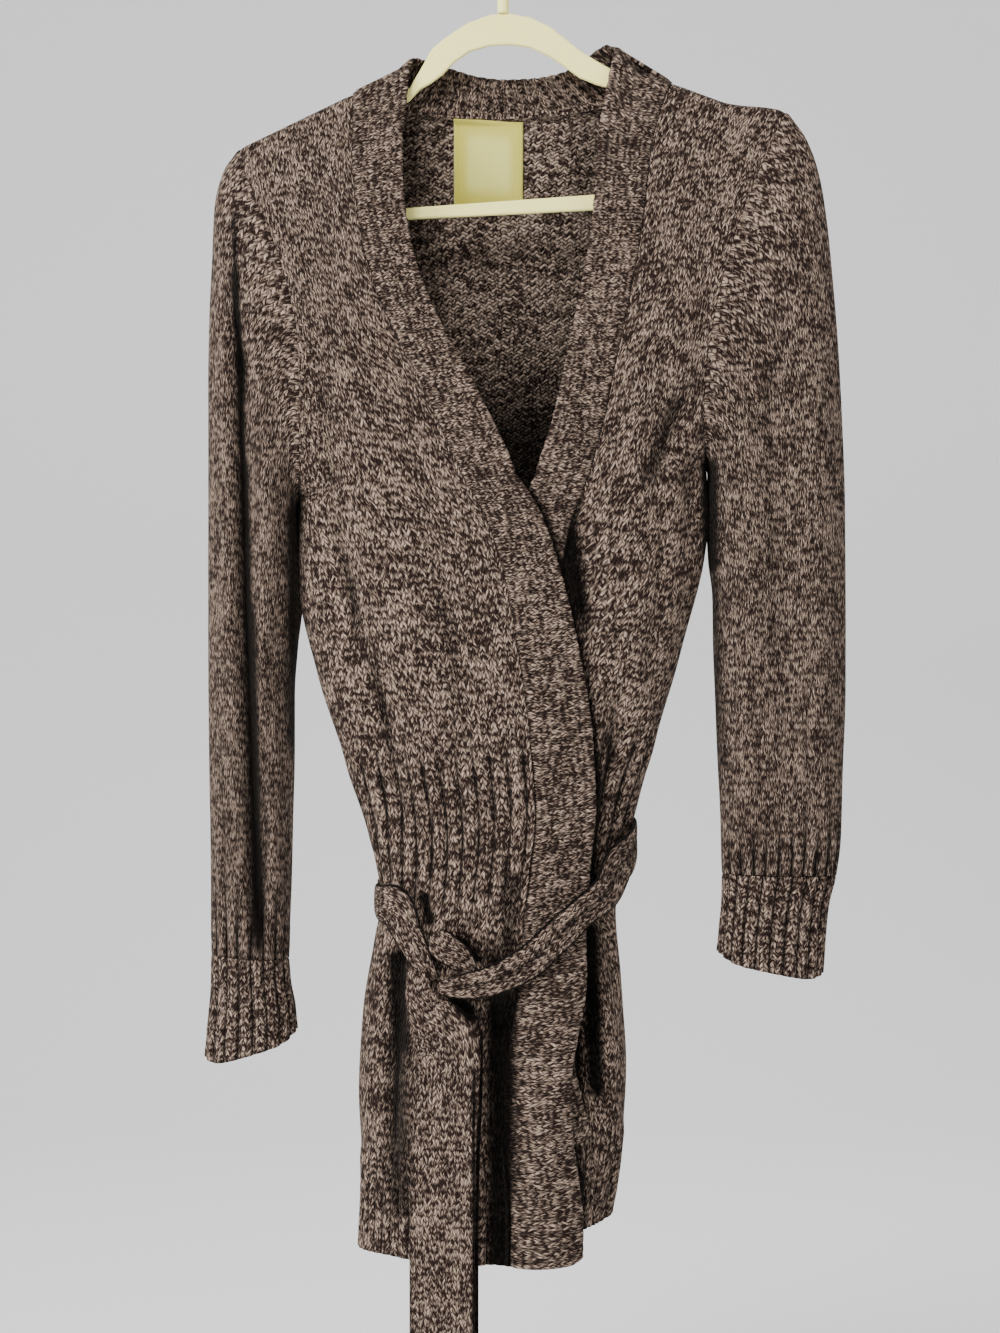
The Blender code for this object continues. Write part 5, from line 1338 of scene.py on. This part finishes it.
# %% Flock and chrome
def flock():
    material, tree, shader = new_surface("ivory_flock", Roughness=0.9, Specular_IOR_Level=0.2,
                                         Sheen_Weight=0.2, Sheen_Roughness=0.35)
    place = tree.nodes.new("ShaderNodeTexCoord").outputs["Object"]
    fibres = noise(tree, place, 900.0, 3.0, 0.7)
    clouds = noise(tree, place, 28.0, 3.0, 0.6)
    share = maths(tree, "ADD", maths(tree, "MULTIPLY", fibres, 0.6), maths(tree, "MULTIPLY", clouds, 0.5))
    tint = blend(tree, share, (0.82, 0.74, 0.24, 1), (0.97, 0.90, 0.35, 1))
    tree.links.new(tint, shader.inputs["Base Color"])
    bump(tree, shader, fibres, 0.0004, 0.7)
    return material


def chrome():
    material, tree, shader = new_surface("polished_wire", Base_Color=(0.74, 0.74, 0.76, 1), Metallic=1.0)
    smears = noise(tree, tree.nodes.new("ShaderNodeTexCoord").outputs["Object"], 160.0, 3.0)
    tree.links.new(ramp(tree, smears, 0.3, 0.7, 0.12, 0.26), shader.inputs["Roughness"])
    return material


FLOCK, CHROME = flock(), chrome()
for node, material in (("hanger_plate", FLOCK), ("hanger_ferrule", FLOCK), ("hanger_hook", CHROME)):
    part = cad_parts[node]
    part.data.materials.clear()
    part.data.materials.append(material)
print("hanger dressed")

# %% [markdown]
# ## The knitted panels are done

# %% End of the panels
print("knitted panels done")

# %% [markdown]
# ## Room, light and camera
#
# A pale sweep stands in for a studio. One large soft light comes from the upper left in front, a
# weaker one from the right, and the world fills in. The camera looks straight at the garment from
# 1.9 m, from the height of its middle, as in the photograph.

# %% Sweep, lights and camera
def pale_sweep():
    bm = bmesh.new()
    bmesh.ops.create_grid(bm, x_segments=1, y_segments=1, size=4.0)
    far_edge = [edge for edge in bm.edges if all(vert.co.y > 3.9 for vert in edge.verts)]
    raised = bmesh.ops.extrude_edge_only(bm, edges=far_edge)
    top = [item for item in raised["geom"] if isinstance(item, bmesh.types.BMVert)]
    bmesh.ops.translate(bm, vec=(0, 0, 5), verts=top)
    bmesh.ops.bevel(bm, geom=far_edge, offset=1.5, segments=12, profile=0.5, affect="EDGES", material=-1)
    bmesh.ops.translate(bm, vec=(0, 0, -1.35), verts=bm.verts)
    mesh = bpy.data.meshes.new("pale_sweep")
    bm.to_mesh(mesh)
    bm.free()
    mesh.shade_smooth()
    sweep = bpy.data.objects.new("pale_sweep", mesh)
    bpy.context.scene.collection.objects.link(sweep)
    mesh.materials.append(new_surface("pale_paint", Base_Color=(0.93, 0.93, 0.93, 1), Roughness=0.9)[0])
    return sweep


pale_sweep()


def soft_light(name, place, size, power, aim=(0, 0, -0.5)):
    light = bpy.data.lights.new(name, "AREA")
    light.size = size
    light.energy = power
    lamp = bpy.data.objects.new(name, light)
    lamp.location = place
    lamp.rotation_euler = (Vector(aim) - Vector(place)).to_track_quat("-Z", "Y").to_euler()
    bpy.context.scene.collection.objects.link(lamp)


soft_light("key", (-0.9, -2.0, 1.6), 0.8, 96)
soft_light("low", (-2.0, -1.7, -0.5), 1.0, 66)
soft_light("fill", (1.9, -1.9, 0.3), 1.6, 15)
soft_light("behind", (0.4, 2.2, 1.4), 1.6, 45)
world = bpy.data.worlds.new("studio")
world.use_nodes = True
world.node_tree.nodes["Background"].inputs["Color"].default_value = (1, 1, 1, 1)
world.node_tree.nodes["Background"].inputs["Strength"].default_value = 0.62
bpy.context.scene.world = world

lens = bpy.data.cameras.new("camera")
lens.lens = 70.3
lens.sensor_fit = "VERTICAL"
lens.sensor_height = 36
camera = bpy.data.objects.new("camera", lens)
camera.location = (0, -1.9, -0.5556)
camera.rotation_euler = (math.pi / 2, 0, 0)
bpy.context.scene.collection.objects.link(camera)
bpy.context.scene.camera = camera
